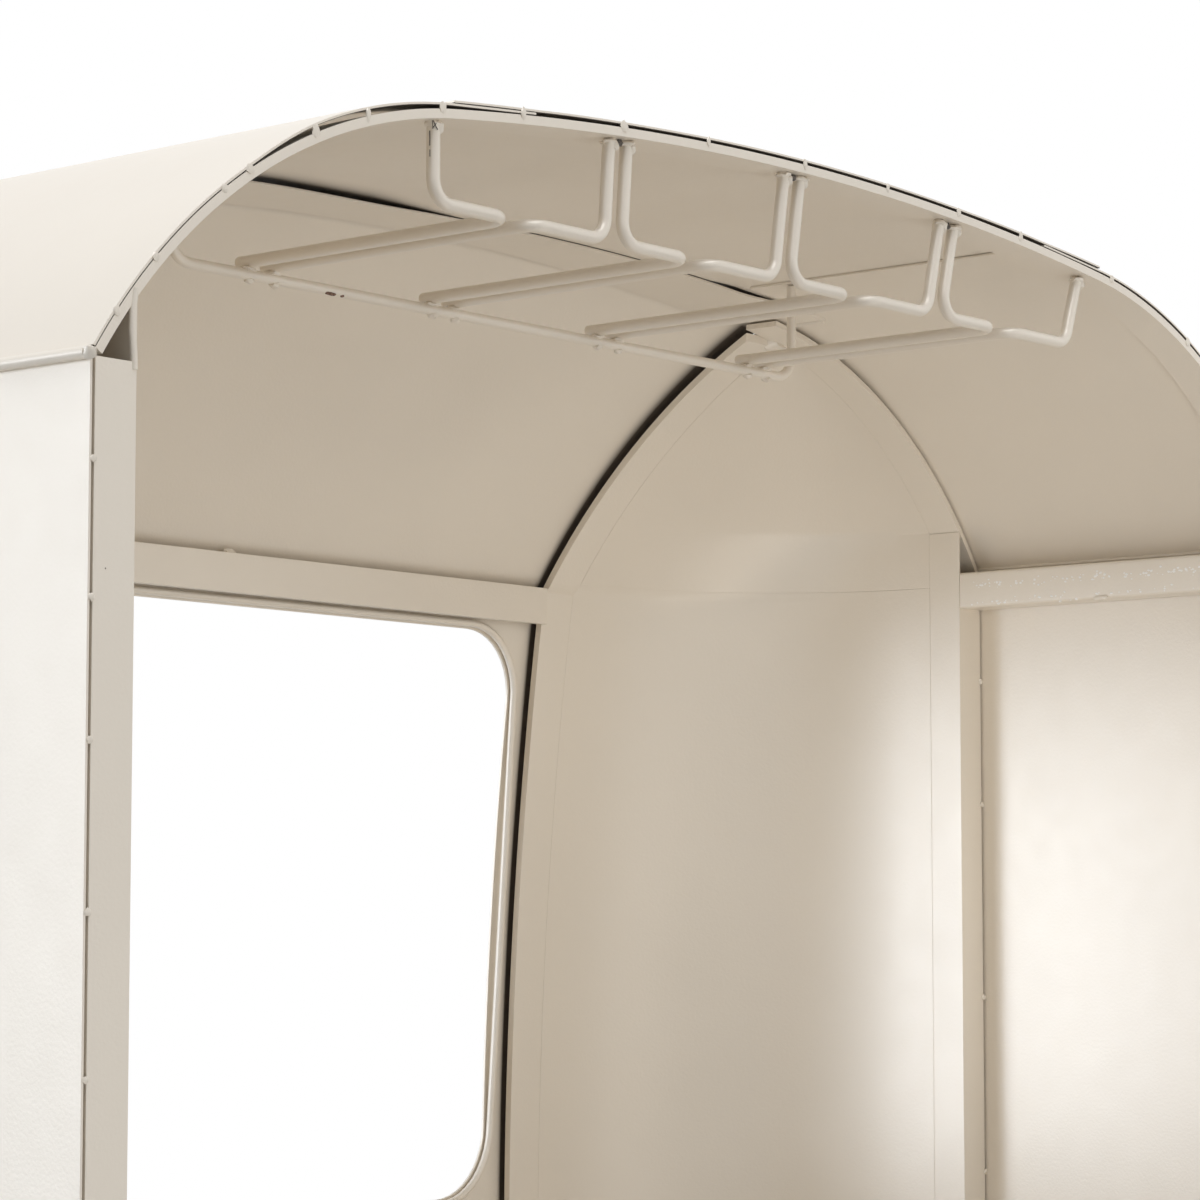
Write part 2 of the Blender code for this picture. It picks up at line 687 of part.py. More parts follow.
def tray_loop(front):
    """Plan inside the walls, notched round the posts, from a depth back to the nose panel."""
    wall = HALF_WIDTH - GAP
    post = POST_IN - GAP
    back = BACK_DEPTH - GAP
    frame = BACK_DEPTH + FRAME_IN
    half = [(post, front), (post, TUBE + GAP)] if front < TUBE else []
    half += [(wall, max(front, TUBE + GAP)), (wall, SIDE_POST_DEPTH - GAP), (post, SIDE_POST_DEPTH - GAP)]
    half += corner_plan(POST_IN, frame, GAP)
    half += [(BACK_POST_X - GAP, frame - GAP), (BACK_POST_X - GAP, back)]
    loop = half + [(-x, y) for x, y in reversed(half)]
    return [(x, FRONT_Y + y) for x, y in loop]


def build_trays():
    top = COUNTER_HEIGHT
    outline("counter_top", [tray_loop(0.0)], "XY", top - COUNTER_SHEET, top)
    outline("cabinet_floor", [tray_loop(0.0)], "XY", FLOOR_Z, FLOOR_Z + SHEET)
    outline("shelf", [tray_loop(TUBE + GAP)], "XY", SHELF_HEIGHT - SHEET, SHELF_HEIGHT)


# Doors, hinges, handles and catch

def door_pan(name, low, high, parent):
    """Door folded from sheet: a front with four returned edges, open behind."""
    mesh = bpy.data.meshes.new(name)
    cube = bmesh.new()
    bmesh.ops.create_cube(cube, size=1.0)
    bmesh.ops.scale(cube, vec=high - low, verts=cube.verts)
    back = [face for face in cube.faces if face.normal.y > 0.5]
    bmesh.ops.delete(cube, geom=back, context="FACES_ONLY")
    cube.to_mesh(mesh)
    cube.free()
    piece = add(name, mesh, CREAM, (low + high) / 2, parent)
    shell = piece.modifiers.new("Sheet", "SOLIDIFY")
    shell.thickness = DOOR_SHEET
    shell.offset = -1.0
    shell.use_even_offset = True


def hinge_heights():
    """Where the two halves of each hinge meet."""
    return (("lower", DOOR_LOW + HINGE_INSET), ("upper", DOOR_HIGH - HINGE_INSET))


def build_doors():
    bore = HINGE_PIN + GAP
    post_half = [(0.0, HINGE_PIN_REACH), (HINGE_PIN, HINGE_PIN_REACH), (HINGE_PIN, 0.0),
                 (HINGE_RADIUS, 0.0), (HINGE_RADIUS, -HINGE_HALF), (0.0, -HINGE_HALF)]
    door_half = [(0.0, HINGE_HALF), (HINGE_RADIUS, HINGE_HALF), (HINGE_RADIUS, GAP),
                 (bore, GAP), (bore, HINGE_PIN_REACH + GAP), (0.0, HINGE_PIN_REACH + GAP)]
    for label, side in SIDES:
        pivot = bpy.data.objects.new(f"door_{label}_pivot", None)
        parts.objects.link(pivot)
        pivot.location = (side * HINGE_X, HINGE_Y, DOOR_LOW)
        ends = sorted((side * DOOR_IN, side * DOOR_OUT))
        low = Vector((ends[0], FRONT_Y, DOOR_LOW))
        high = Vector((ends[1], FRONT_Y + DOOR_THICK, DOOR_HIGH))
        door_pan("door_" + label, low, high, pivot)
        for level, z in hinge_heights():
            place = (side * HINGE_X, HINGE_Y, z)
            turned(f"{level}_hinge_post_half_{label}", post_half, place)
            turned(f"{level}_hinge_door_half_{label}", door_half, place, pivot)
        x = side * (DOOR_IN + HANDLE_INSET)
        ends = (HANDLE_HEIGHT - HANDLE_LENGTH / 2, HANDLE_HEIGHT + HANDLE_LENGTH / 2)
        points = [at(x, -GAP, ends[0]), at(x, -HANDLE_REACH, ends[0]),
                  at(x, -HANDLE_REACH, ends[1]), at(x, -GAP, ends[1])]
        rod("door_handle_" + label, bent(points, HANDLE_BEND), HANDLE_ROD, parent=pivot)


def build_catch():
    """Double catch on the rear of the counter's front rail, behind the doors' free edges."""
    z = COUNTER_RAIL_TOP - TUBE
    front = FRONT_Y + TUBE + GAP
    low = (-CATCH_WIDTH / 2, front, z - CATCH_HEIGHT / 2)
    high = (CATCH_WIDTH / 2, front + CATCH_DEPTH, z + CATCH_HEIGHT / 2)
    box("door_catch", low, high, BLACK)


build_tube_posts()
build_windscreen_frame()
build_side_ribs()
build_back_ribs()
build_front_arch()
build_rails()
build_roof_centre()
build_roof_sides()
build_roof_back()
build_corners()
build_walls()
build_windscreen()
build_gutters()
build_rack()
build_trays()
build_doors()
build_catch()
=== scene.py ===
# Looks of the bar cabinet: powder coat, smooth sheets, rounded tubes, weld beads, light and camera.
# Metres, in the part's own frame: X along the open front, Y back to the windscreen, Z up.
import random
from math import acos, asin, copysign, cos, hypot, pi, radians, sin, sqrt, tan

import bmesh
import bpy
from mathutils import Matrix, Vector, noise


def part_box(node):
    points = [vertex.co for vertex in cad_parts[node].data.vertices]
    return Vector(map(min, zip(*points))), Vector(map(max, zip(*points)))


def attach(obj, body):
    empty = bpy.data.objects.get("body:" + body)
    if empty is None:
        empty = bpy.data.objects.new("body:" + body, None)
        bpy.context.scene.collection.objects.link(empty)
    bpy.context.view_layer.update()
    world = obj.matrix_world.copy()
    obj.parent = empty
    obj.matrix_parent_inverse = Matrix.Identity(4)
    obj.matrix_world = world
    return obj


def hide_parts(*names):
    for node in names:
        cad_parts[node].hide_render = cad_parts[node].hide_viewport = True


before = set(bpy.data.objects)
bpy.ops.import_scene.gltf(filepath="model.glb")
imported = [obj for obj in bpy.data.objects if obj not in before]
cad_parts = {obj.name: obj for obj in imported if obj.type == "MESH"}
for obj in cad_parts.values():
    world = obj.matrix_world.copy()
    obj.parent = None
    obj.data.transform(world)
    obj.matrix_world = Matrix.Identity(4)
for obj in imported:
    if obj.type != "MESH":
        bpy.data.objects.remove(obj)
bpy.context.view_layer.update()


# Places taken from the frame

def low(node):
    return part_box(node)[0]


def high(node):
    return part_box(node)[1]


def middle_of(node):
    return (low(node) + high(node)) / 2


def inner_x(node, side):
    """X of the face that a piece on one side turns to the middle."""
    return low(node).x if side > 0 else high(node).x


GAP = 0.0003  # clearance between pieces that touch
FRONT_Y = low("front_arch").y
HALF_WIDTH = low("side_panel_right").x
CROWN = high("front_arch").z + GAP
WALL_TOP = high("top_rail_right").z
ARCH_FOOT = high("side_panel_right").z + GAP
SKIRT = low("side_panel_right").z
SHEET = high("nose_panel").y - low("nose_panel").y
BACK_DEPTH = low("nose_panel").y - FRONT_Y
SILL = high("nose_panel").z + GAP
POST_DEPTH = low("side_post_right").y - FRONT_Y
POST_BACK = high("side_post_right").y - FRONT_Y
POST_IN = low("side_post_right").x
POST_OUT = high("side_post_right").x
TUBE = POST_OUT - POST_IN
BACK_POST_X = low("back_post_right").x
BACK_POST_OUT = high("back_post_right").x
BACK_SEAM = (BACK_POST_X + BACK_POST_OUT) / 2
BREAK = high("windscreen_panel").z + GAP
HEADER_TOP = high("windscreen_header").z
HEADER_LOW = low("windscreen_header").z
FLAT = high("windscreen_header").y - low("windscreen_header").y
FLAT_WIDTH = high("front_arch").y - FRONT_Y
CORNER_SEAM = low("roof_corner_right").z
ROD = 0.007  # rack rod
RAIL_Z = low("rack_rail_1").z + ROD / 2

# Shapes that a box doesn't tell
CROWN_RADIUS = 2.326
CROWN_HALF = 0.295
CREASE_X = 0.300
SIDE_FLANGE = 0.066
BACK_FLANGE = 0.053
PANEL_LAP = 0.004
REAR_RADIUS = 0.50
SCREEN_RADIUS = 3.17
FRAME_SLOT = 0.004
CORNER_TIP = 0.003
WINDOW_SIDE = 0.018
WINDOW_BELOW = 0.032
WINDOW_ROUND = 0.047
TRIM_SET = 0.0035
BAR_ROD = 0.006
TRIM_ROD = 0.005
GUTTER_ROD = 0.006
HANDLE_ROD = 0.008
RACK_BEND = 0.012
RACK_SPLAY = 0.55
CHANNEL_WIDTH = 0.132
BAR_BEND = 0.016
HANDLE_BEND = 0.012
FREE_HALF = CREASE_X - SIDE_FLANGE  # half width between the side flanges

# Finish of edges and seams
SEAM_OPEN = 0.0012  # how far a wall sheet stands off its posts between the tacks
CREASE_LIFT = 0.0012  # how far a side shoulder stands off the arch at its crease
BULGE_LIFT = 0.0027  # and where it bulges most, outside the crease
BULGE_X = 0.385
BULGE_END = 0.450
FLANGE_SAG = 0.0010  # how far a flange's free edge hangs behind the front arch
SAG_END = 0.150
PANEL_OFF = 0.0010  # centre panel over the arch, between the flanges
PANEL_FLAT = 0.55  # share of that width over which it lies low
PANEL_RISE = 0.42  # share over which it rises on to the flanges
PANEL_HELD = 0.85  # share from which the flanges hold its rear edge
PANEL_HOLD = 0.15  # and over which the hold gets full
REAR_GAP = 0.0023  # centre panel over the rear flange, on the left
REAR_GAP_FROM = -0.030
REAR_GAP_FULL = -0.120
REAR_DIP = 0.0050  # how far the rear flange dips in the middle
DIP_FROM, DIP_FULL = -0.24, -0.08
DIP_LESS, DIP_END = -0.05, 0.30
FOLD_SHIFT = 0.009  # rear fold behind the side posts
FOLD_TURN = 0.019  # and the same along the rear arc
FOLD_DROP = 0.003
REAR_EDGE = POST_BACK + FOLD_SHIFT - BACK_FLANGE  # depth of the rear flange's free edge
RIB_GAP = 0.0016  # side rib below the shoulder's sheet
SEAL = 0.0022  # radius of the weld beads that close the rear seams
FINE_SEAL = 0.0014
SEAL_SET = 0.8  # how far a rear bead lies inside the skin, in its own radii
SEAM_SIDE = 0.0019  # rear bead beside the middle of its seam
WALL_SEAL_FROM = 0.03  # depth at which the bead over a wall begins
POST_BEAD = 0.0018  # bead along a front post's cut top
POST_CUT = 0.036  # and how far down it runs
POST_BEAD_IN, POST_BEAD_BACK = 0.9, 0.4  # its place off the post's corner, in its radii
POST_BEAD_UP = 0.001
POST_WAVER = (-0.0006, 0.0006, 0.0008, 0.0, -0.0006)
HINGE_BEAD = 0.0011  # bead down a hinge barrel
HINGE_SIDE = 0.62  # how far to the barrel's side, in its radii
HINGE_SET = 0.6  # and how far out of the face, in the bead's radii
HINGE_END = 0.004  # length left bare at each end
TUBE_ROUND = 0.0022  # outer corner radius of the square tube
SHEET_EDGE = 0.0004  # rounding of sheet and bar edges
CATCH_EDGE = 0.0012
ROD_EDGE = 0.12  # rounding of a rod's ends, in its diameters
ROD_UP = Vector((0.31, 0.42, 0.85))  # first side of every rod's section
ALONG = 0.99  # cosine above which an edge runs along a tube
WELD = 0.00001  # points closer than this are one point
SHARP = radians(38)  # edges bent more than this stay sharp
FLAT_ANGLE = radians(1)
ARC_STEPS = 56
CROWN_STEPS = 32
BEND_STEPS = 10
RING_STEPS = 20
BULGE_SHARE = {"left": 1.0, "right": 0.35}
SAG_SHARE = {"left": 1.0, "right": 0.3}
PANEL_COLUMNS = 40
SIDES = (("left", -1), ("right", 1))
INSIDE = Vector((0.0, 0.0, (SILL + WALL_TOP) / 2))

# Colours and finish of the coat
CREAM = (0.84, 0.765, 0.655)
SATIN = (CREAM, 0.38, 0.30, 0.05)  # colour, roughness, orange peel and share of cells with a pinhole
PEARL = 0.15  # share of mirror-like flakes in the coat
GLOSS_IOR = 1.75  # the coat's clear top layer
SHADED = (0.93, 0.91, 0.88)  # pigment that looks starved of light
BEAD_SHADE = 0.97
CLOUD_SHADE = 0.975
GRAIN_SHARE = 0.16
HOLE_SCALE = 38.0
HOLE_SIZE = 0.016
HOLE_COLOUR = (0.16, 0.11, 0.08)
SHEEN_SPREAD = 0.04
PEEL_SCALE, PEEL_DETAIL, PEEL_DEPTH = 520.0, 2.0, 0.0003
WAVE_SCALE, WAVE_DETAIL = 8.0, 1.0
WAVE_STRENGTH, WAVE_DEPTH = 0.04, 0.0012
SPECK_DEPTH = 0.0002

# Noise: scale, detail, and the values that count as nothing and as full
CLOUDS = (7.0, 3.0, 0.35, 0.65)
GRAIN = (1900.0, 1.0, 0.45, 0.75)
SHEEN = (60.0, 2.0, 0.3, 0.7)
SPARK = (1400.0, 2.0, 0.4, 0.7)
BURN = (900.0, 2.0, 0.42, 0.62)

# Painted shade in the slots and laps beside the welds, with some weld scorch beside the back bars
SHADE_AND_SCORCH = (0.085, 0.066, 0.050)
BAR_SHADE_LOW, BAR_SHADE_HIGH = 1.62, 1.86  # heights between which the painted shade by the back bars gets wider
BAR_SHADE_THIN, BAR_SHADE_WIDE = 0.0028, 0.014  # its width below and above them
BAR_SHADE_FADE = 2.6
FOLD_BEFORE, FOLD_PAST = 0.001, 0.004  # it begins at the rear fold
LAP_THIN, LAP_WIDE = 0.001, 0.028  # painted shade before the rear flange, in the middle and on the left
LAP_FADE = 2.2
ARCH_SHADE = 0.004  # width of the painted shade behind the front arch
# Faces that get the painted shade: those turned these ways past the limit
FACING_REAR_IN = (0.0, -1.0, -0.6)
FACING_DOWN = (0.0, 0.0, -1.0)
FACING_LIMIT = 0.2


# Materials

def feed(tree, sockets, values):
    """Gives sockets their constants or links."""
    for socket, value in zip(sockets, values):
        if isinstance(value, bpy.types.NodeSocket):
            tree.links.new(value, socket)
        else:
            socket.default_value = value


def fill(tree, node, settings):
    """Feeds a node's named sockets and sets its own values."""
    for key, value in settings.items():
        if key in node.inputs:
            feed(tree, [node.inputs[key]], [value])
        else:
            setattr(node, key, value)


def add_node(tree, kind, **settings):
    node = tree.nodes.new(kind)
    fill(tree, node, settings)
    return node


def coords_of(tree, kind):
    return tree.nodes.new("ShaderNodeTexCoord").outputs[kind]


def noise_node(tree, coords, scale, detail):
    return add_node(tree, "ShaderNodeTexNoise", Scale=scale, Detail=detail, Vector=coords).outputs["Fac"]


def ramp_node(tree, value, first, last):
    """Spreads the stretch between two values over 0 to 1."""
    ends = {"From Min": first, "From Max": last}
    return add_node(tree, "ShaderNodeMapRange", Value=value, **ends).outputs["Result"]


def noise_ramp(tree, coords, scale, detail, first, last):
    return ramp_node(tree, noise_node(tree, coords, scale, detail), first, last)


def mix_node(tree, factor, first, last):
    """Mixes two colours, each a colour or a socket."""
    node = add_node(tree, "ShaderNodeMix", data_type="RGBA", Factor=factor)
    colours = [(*value, 1.0) if isinstance(value, tuple) else value for value in (first, last)]
    feed(tree, [item for item in node.inputs if item.type == "RGBA"], colours)
    return [item for item in node.outputs if item.type == "RGBA"][0]


def maths(tree, operation, *values):
    node = add_node(tree, "ShaderNodeMath", operation=operation)
    feed(tree, node.inputs, values)
    return node.outputs["Value"]


def bump_node(tree, height, strength, distance, **under):
    return add_node(tree, "ShaderNodeBump", Strength=strength, Distance=distance, Height=height,
                    **under).outputs["Normal"]


def between(tree, share, first, last):
    """Runs from one number to another while a share runs from 0 to 1."""
    return maths(tree, "MULTIPLY_ADD", share, last - first, first)


def place_node(tree, coords):
    """Splits coordinates into X, Y and Z."""
    return add_node(tree, "ShaderNodeSeparateXYZ", Vector=coords).outputs


def new_material(name):
    """A material, its node tree and its shader."""
    material = bpy.data.materials.new(name)
    material.use_nodes = True
    return material, material.node_tree, material.node_tree.nodes["Principled BSDF"]


def scaled(values, share):
    return tuple(value * share for value in values)


def towards(tree, coords, way):
    """How far a direction points a given way."""
    node = add_node(tree, "ShaderNodeVectorMath", operation="DOT_PRODUCT")
    feed(tree, node.inputs, (coords, way))
    return node.outputs["Value"]


def inner_side(tree, way):
    """One where a surface faces a given way, else nothing."""
    return maths(tree, "GREATER_THAN", towards(tree, coords_of(tree, "Normal"), way), FACING_LIMIT)


def faded(tree, distance, width, power):
    """One on a line, fading to nothing at a width from it."""
    near = maths(tree, "SUBTRACT", 1.0, maths(tree, "DIVIDE", distance, width))
    return maths(tree, "POWER", ramp_node(tree, near, 0.0, 1.0), power)


def shade_and_scorch_by_bars(tree, coords):
    """Painted shade on the rear skin beside the back bars, where the slot's shadow falls, with weld scorch
    in it; wider towards the roof.
    """
    place = place_node(tree, coords)
    width = between(tree, ramp_node(tree, place["Z"], BAR_SHADE_LOW, BAR_SHADE_HIGH), BAR_SHADE_THIN, BAR_SHADE_WIDE)
    before = maths(tree, "SUBTRACT", BACK_POST_X, maths(tree, "ABSOLUTE", place["X"]))
    fold = FRONT_Y + POST_BACK
    behind = ramp_node(tree, place["Y"], fold - FOLD_BEFORE, fold + FOLD_PAST)
    near = maths(tree, "MULTIPLY", faded(tree, before, width, BAR_SHADE_FADE), behind)
    return maths(tree, "MULTIPLY", near, inner_side(tree, FACING_REAR_IN))


def shade_by_arch(tree, coords):
    """Painted shade on the sheets' undersides right over the front arch, where the gap's shadow falls."""
    end = FRONT_Y + FLAT_WIDTH
    near = ramp_node(tree, place_node(tree, coords)["Y"], end, end - ARCH_SHADE)
    return maths(tree, "MULTIPLY", near, inner_side(tree, FACING_DOWN))


def shade_by_flange(tree, coords):
    """The same, and painted shade on the roof panel before the rear flange's free edge, where its shadow
    falls, widest on the left.
    """
    place = place_node(tree, coords)
    width = between(tree, ramp_node(tree, place["X"], REAR_GAP_FROM, REAR_GAP_FULL), LAP_THIN, LAP_WIDE)
    before = maths(tree, "SUBTRACT", FRONT_Y + REAR_EDGE, place["Y"])
    near = maths(tree, "MULTIPLY", faded(tree, before, width, LAP_FADE), inner_side(tree, FACING_DOWN))
    return maths(tree, "MAXIMUM", near, shade_by_arch(tree, coords))


def powder_coat(name, colour, roughness, peel, holes, painted_shade=None, pearl=PEARL):
    """Satin powder coat: orange peel, faint clouds, fine pigment, a few pinholes, and painted shade where a
    mask is given.
    """
    material, tree, shader = new_material(name)
    coords = coords_of(tree, "Object")
    paint = mix_node(tree, noise_ramp(tree, coords, *CLOUDS), colour, scaled(colour, CLOUD_SHADE))
    grain = maths(tree, "MULTIPLY", noise_ramp(tree, coords, *GRAIN), GRAIN_SHARE)
    starved = tuple(value * share for value, share in zip(colour, SHADED))
    paint = mix_node(tree, grain, paint, starved)
    cells = add_node(tree, "ShaderNodeTexVoronoi", Scale=HOLE_SCALE, Vector=coords)
    chance = add_node(tree, "ShaderNodeSeparateColor", Color=cells.outputs["Color"])
    small = maths(tree, "LESS_THAN", cells.outputs["Distance"], HOLE_SIZE)
    rare = maths(tree, "LESS_THAN", chance.outputs["Red"], holes)
    paint = mix_node(tree, maths(tree, "MULTIPLY", small, rare), paint, HOLE_COLOUR)
    # Where a mask is given, the paint darkens towards the dark colour: painted shade
    if painted_shade:
        paint = mix_node(tree, painted_shade(tree, coords), paint, SHADE_AND_SCORCH)
    half = SHEEN_SPREAD / 2
    gloss = between(tree, noise_ramp(tree, coords, *SHEEN), roughness - half, roughness + half)
    waves = noise_node(tree, coords, WAVE_SCALE, WAVE_DETAIL)
    normal = bump_node(tree, waves, WAVE_STRENGTH, WAVE_DEPTH)
    fine = noise_node(tree, coords, PEEL_SCALE, PEEL_DETAIL)
    normal = bump_node(tree, fine, peel, PEEL_DEPTH, Normal=normal)
    fill(tree, shader, {"Base Color": paint, "Roughness": gloss, "Metallic": pearl, "IOR": GLOSS_IOR,
                        "Normal": normal})
    return material


def speckled(name, colour, specks, shine, roughness, peel=0.0):
    """Dull surface with brighter specks; with a peel they stand out too."""
    material, tree, shader = new_material(name)
    coords = coords_of(tree, "Object")
    paint = mix_node(tree, noise_ramp(tree, coords, *specks), colour, scaled(colour, shine))
    fill(tree, shader, {"Base Color": paint, "Roughness": roughness})
    if peel:
        normal = bump_node(tree, noise_node(tree, coords, *specks[:2]), peel, SPECK_DEPTH)
        fill(tree, shader, {"Normal": normal})
    return material


COAT = powder_coat("powder_coat", *SATIN)
BEAD = powder_coat("weld_coat", scaled(CREAM, BEAD_SHADE), 0.36, 0.55, 0.0)
# Rear skin coat with painted shade beside the back bars
REAR_SHADED_COAT = powder_coat("rear_coat_with_painted_shade", *SATIN, shade_and_scorch_by_bars)
# Roof panel coat with painted shade before the rear flange and over the arch
PANEL_SHADED_COAT = powder_coat("panel_coat_with_painted_shade", *SATIN, shade_by_flange)
# Shoulder coat with painted shade over the front arch
SHOULDER_SHADED_COAT = powder_coat("shoulder_coat_with_painted_shade", *SATIN, shade_by_arch)
# Spatter drops painted near white, lighter than the coat they sit on: painted highlights
SPATTER_HIGHLIGHT_COAT = powder_coat("spatter_painted_highlight", (0.97, 0.94, 0.89), 0.45, 0.10, 0.0, pearl=0.0)
SCORCH_AND_DARK = speckled("weld_scorch_and_dark_marks", (0.075, 0.066, 0.058), BURN, 2.2, 0.8)
RUST = speckled("bare_steel_chip", (0.13, 0.078, 0.056), BURN, 2.2, 0.8)
PLASTIC = speckled("black_moulding", (0.022, 0.022, 0.023), SPARK, 1.6, 0.58, 0.25)


# Making pieces

def settle(piece):
    """Applies the modifiers, then shades round work smooth and keeps flat faces flat."""
    bpy.context.view_layer.update()
    graph = bpy.context.evaluated_depsgraph_get()
    mesh = bpy.data.meshes.new_from_object(piece.evaluated_get(graph))
    piece.modifiers.clear()
    piece.data = mesh
    mesh.shade_smooth()
    mesh.set_sharp_from_angle(angle=SHARP)
    normals = piece.modifiers.new("Normals", "WEIGHTED_NORMAL")
    normals.keep_sharp = True


def linked(name, data, material=None):
    """A new object in the scene."""
    thing = bpy.data.objects.new(name, data)
    bpy.context.scene.collection.objects.link(thing)
    if material:
        data.materials.append(material)
    return thing


def round_edges(piece, width):
    bevel = piece.modifiers.new("Edges", "BEVEL")
    bevel.width = width
    bevel.segments = 2
    bevel.limit_method = "ANGLE"
    bevel.angle_limit = SHARP


def piece_of(name, mesh, material, body, nodes=(), edge=0.0):
    """A finished piece that rides on a body, with its edges rounded."""
    piece = linked(name, mesh, material)
    if edge:
        round_edges(piece, edge)
    settle(piece)
    finished(piece, body, nodes)


def finished(piece, body, nodes):
    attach(piece, body)
    if nodes:
        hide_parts(*nodes)


def coated(node, mesh, edge, material=COAT, body="cabinet"):
    """The piece that stands in for a node."""
    piece_of(node + "_coated", mesh, material, body, (node,), edge)


def mesh_of(name, work):
    mesh = bpy.data.meshes.new(name)
    work.normal_update()
    work.to_mesh(mesh)
    work.free()
    return mesh


def copied(node):
    """The node's shape with welded points and whole flat faces."""
    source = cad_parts[node].data
    mesh = bpy.data.meshes.new(node + "_copy")
    points = [point.co for point in source.vertices]
    mesh.from_pydata(points, [], [face.vertices for face in source.polygons])
    work = bmesh.new()
    work.from_mesh(mesh)
    bmesh.ops.remove_doubles(work, verts=work.verts, dist=WELD)
    bmesh.ops.dissolve_limit(work, angle_limit=FLAT_ANGLE, verts=work.verts, edges=work.edges)
    return work


def tube_piece(node, axis, body="cabinet"):
    """A square tube with its long outer corners rounded."""
    work = copied(node)
    weights = work.edges.layers.float.new("bevel_weight_edge")
    for line in work.edges:
        if len(line.link_faces) != 2 or line.calc_face_angle(0.0) < SHARP:
            continue
        run = (line.verts[1].co - line.verts[0].co).normalized()
        corner = abs(run[axis]) > ALONG and line.is_convex
        line[weights] = 1.0 if corner else SHEET_EDGE / TUBE_ROUND
    piece = linked(node + "_coated", mesh_of(node + "_tube", work), COAT)
    bevel = piece.modifiers.new("Corners", "BEVEL")
    bevel.width = TUBE_ROUND
    bevel.segments = 3
    bevel.limit_method = "WEIGHT"
    settle(piece)
    finished(piece, body, (node,))


def plain_piece(node, edge, material=COAT, body="cabinet"):
    """The node's own shape with rounded edges."""
    coated(node, mesh_of(node + "_plain", copied(node)), edge, material, body)


def sheet_piece(node, place, across, along, drop=None, cutter=None, material=COAT):
    """Smooth bent sheet: a fine grid laid on a surface, thickened outwards."""
    work = bmesh.new()
    bmesh.ops.create_grid(work, x_segments=across, y_segments=along, size=0.5)
    gone = []
    for face in work.faces:
        middle = face.calc_center_median()
        column = int((middle.x + 0.5) * across)
        row = int((middle.y + 0.5) * along)
        if drop and drop(column, row):
            gone.append(face)
    for point in work.verts:
        point.co = place(round((point.co.x + 0.5) * across), round((point.co.y + 0.5) * along))
    bmesh.ops.delete(work, geom=gone, context="FACES")
    work.normal_update()
    if sum(face.normal.dot(face.calc_center_median() - INSIDE) for face in work.faces) < 0:
        bmesh.ops.reverse_faces(work, faces=work.faces)
    piece = linked(node + "_coated", mesh_of(node + "_sheet", work), material)
    shell = piece.modifiers.new("Sheet", "SOLIDIFY")
    shell.thickness = SHEET
    shell.offset = 1.0
    shell.use_even_offset = True
    if cutter:
        opening = piece.modifiers.new("Opening", "BOOLEAN")
        opening.operation = "DIFFERENCE"
        opening.solver = "EXACT"
        opening.object = cutter
    round_edges(piece, SHEET_EDGE)
    settle(piece)
    finished(piece, "cabinet", (node,))


def swept(name, rings, closed=False):
    """A skin through a row of rings that all have the same number of points."""
    work = bmesh.new()
    rows = [[work.verts.new(point) for point in ring] for ring in rings]
    size = len(rows[0])
    pairs = list(zip(rows, rows[1:]))
    if closed:
        pairs.append((rows[-1], rows[0]))
    for first, second in pairs:
        for step in range(size):
            after = (step + 1) % size
            work.faces.new((first[step], first[after], second[after], second[step]))
    if not closed:
        work.faces.new(rows[0][::-1])
        work.faces.new(rows[-1])
    bmesh.ops.recalc_face_normals(work, faces=work.faces)
    return mesh_of(name, work)


def bar_piece(node, sections):
    """Flat bar through a row of four-cornered sections."""
    coated(node, swept(node + "_bar", sections), SHEET_EDGE)


def ring_round(middle, run, radius, start):
    """A round section square to a direction."""
    side = run.cross(start).normalized()
    up = side.cross(run).normalized()
    turns = [2 * pi * step / RING_STEPS for step in range(RING_STEPS)]
    return [middle + (side * cos(turn) + up * sin(turn)) * radius for turn in turns]


def rod_mesh(name, points, diameter, closed=False):
    """Round rod along a line of points, its section carried along without twist."""
    count = len(points)
    up = ROD_UP
    rings = []
    for step, point in enumerate(points):
        before = points[step - 1] if step or closed else point
        after = points[(step + 1) % count] if step < count - 1 or closed else point
        run = (after - before).normalized()
        up = (up - run * up.dot(run)).normalized()
        rings.append(ring_round(point, run, diameter / 2, up))
    return swept(name, rings, closed)


def rod_piece(node, points, diameter, body="cabinet", closed=False):
    edge = 0.0 if closed else diameter * ROD_EDGE
    coated(node, rod_mesh(node + "_rod", points, diameter, closed), edge, body=body)


def bent(points, radius):
    """The same line with each corner rounded to a bend."""
    line = [Vector(points[0])]
    for before, corner, after in zip(points, points[1:], points[2:]):
        corner = Vector(corner)
        back = (Vector(before) - corner).normalized()
        on = (Vector(after) - corner).normalized()
        half = back.angle(on) / 2
        middle = corner + (back + on).normalized() * radius / sin(half)
        start = (corner + back * radius / tan(half) - middle).normalized()
        end = (corner + on * radius / tan(half) - middle).normalized()
        for step in range(BEND_STEPS + 1):
            line.append(middle + start.slerp(end, step / BEND_STEPS) * radius)
    line.append(Vector(points[-1]))
    return line


# The roof's arch: a crown arc and two shoulder arcs, tangent where they meet

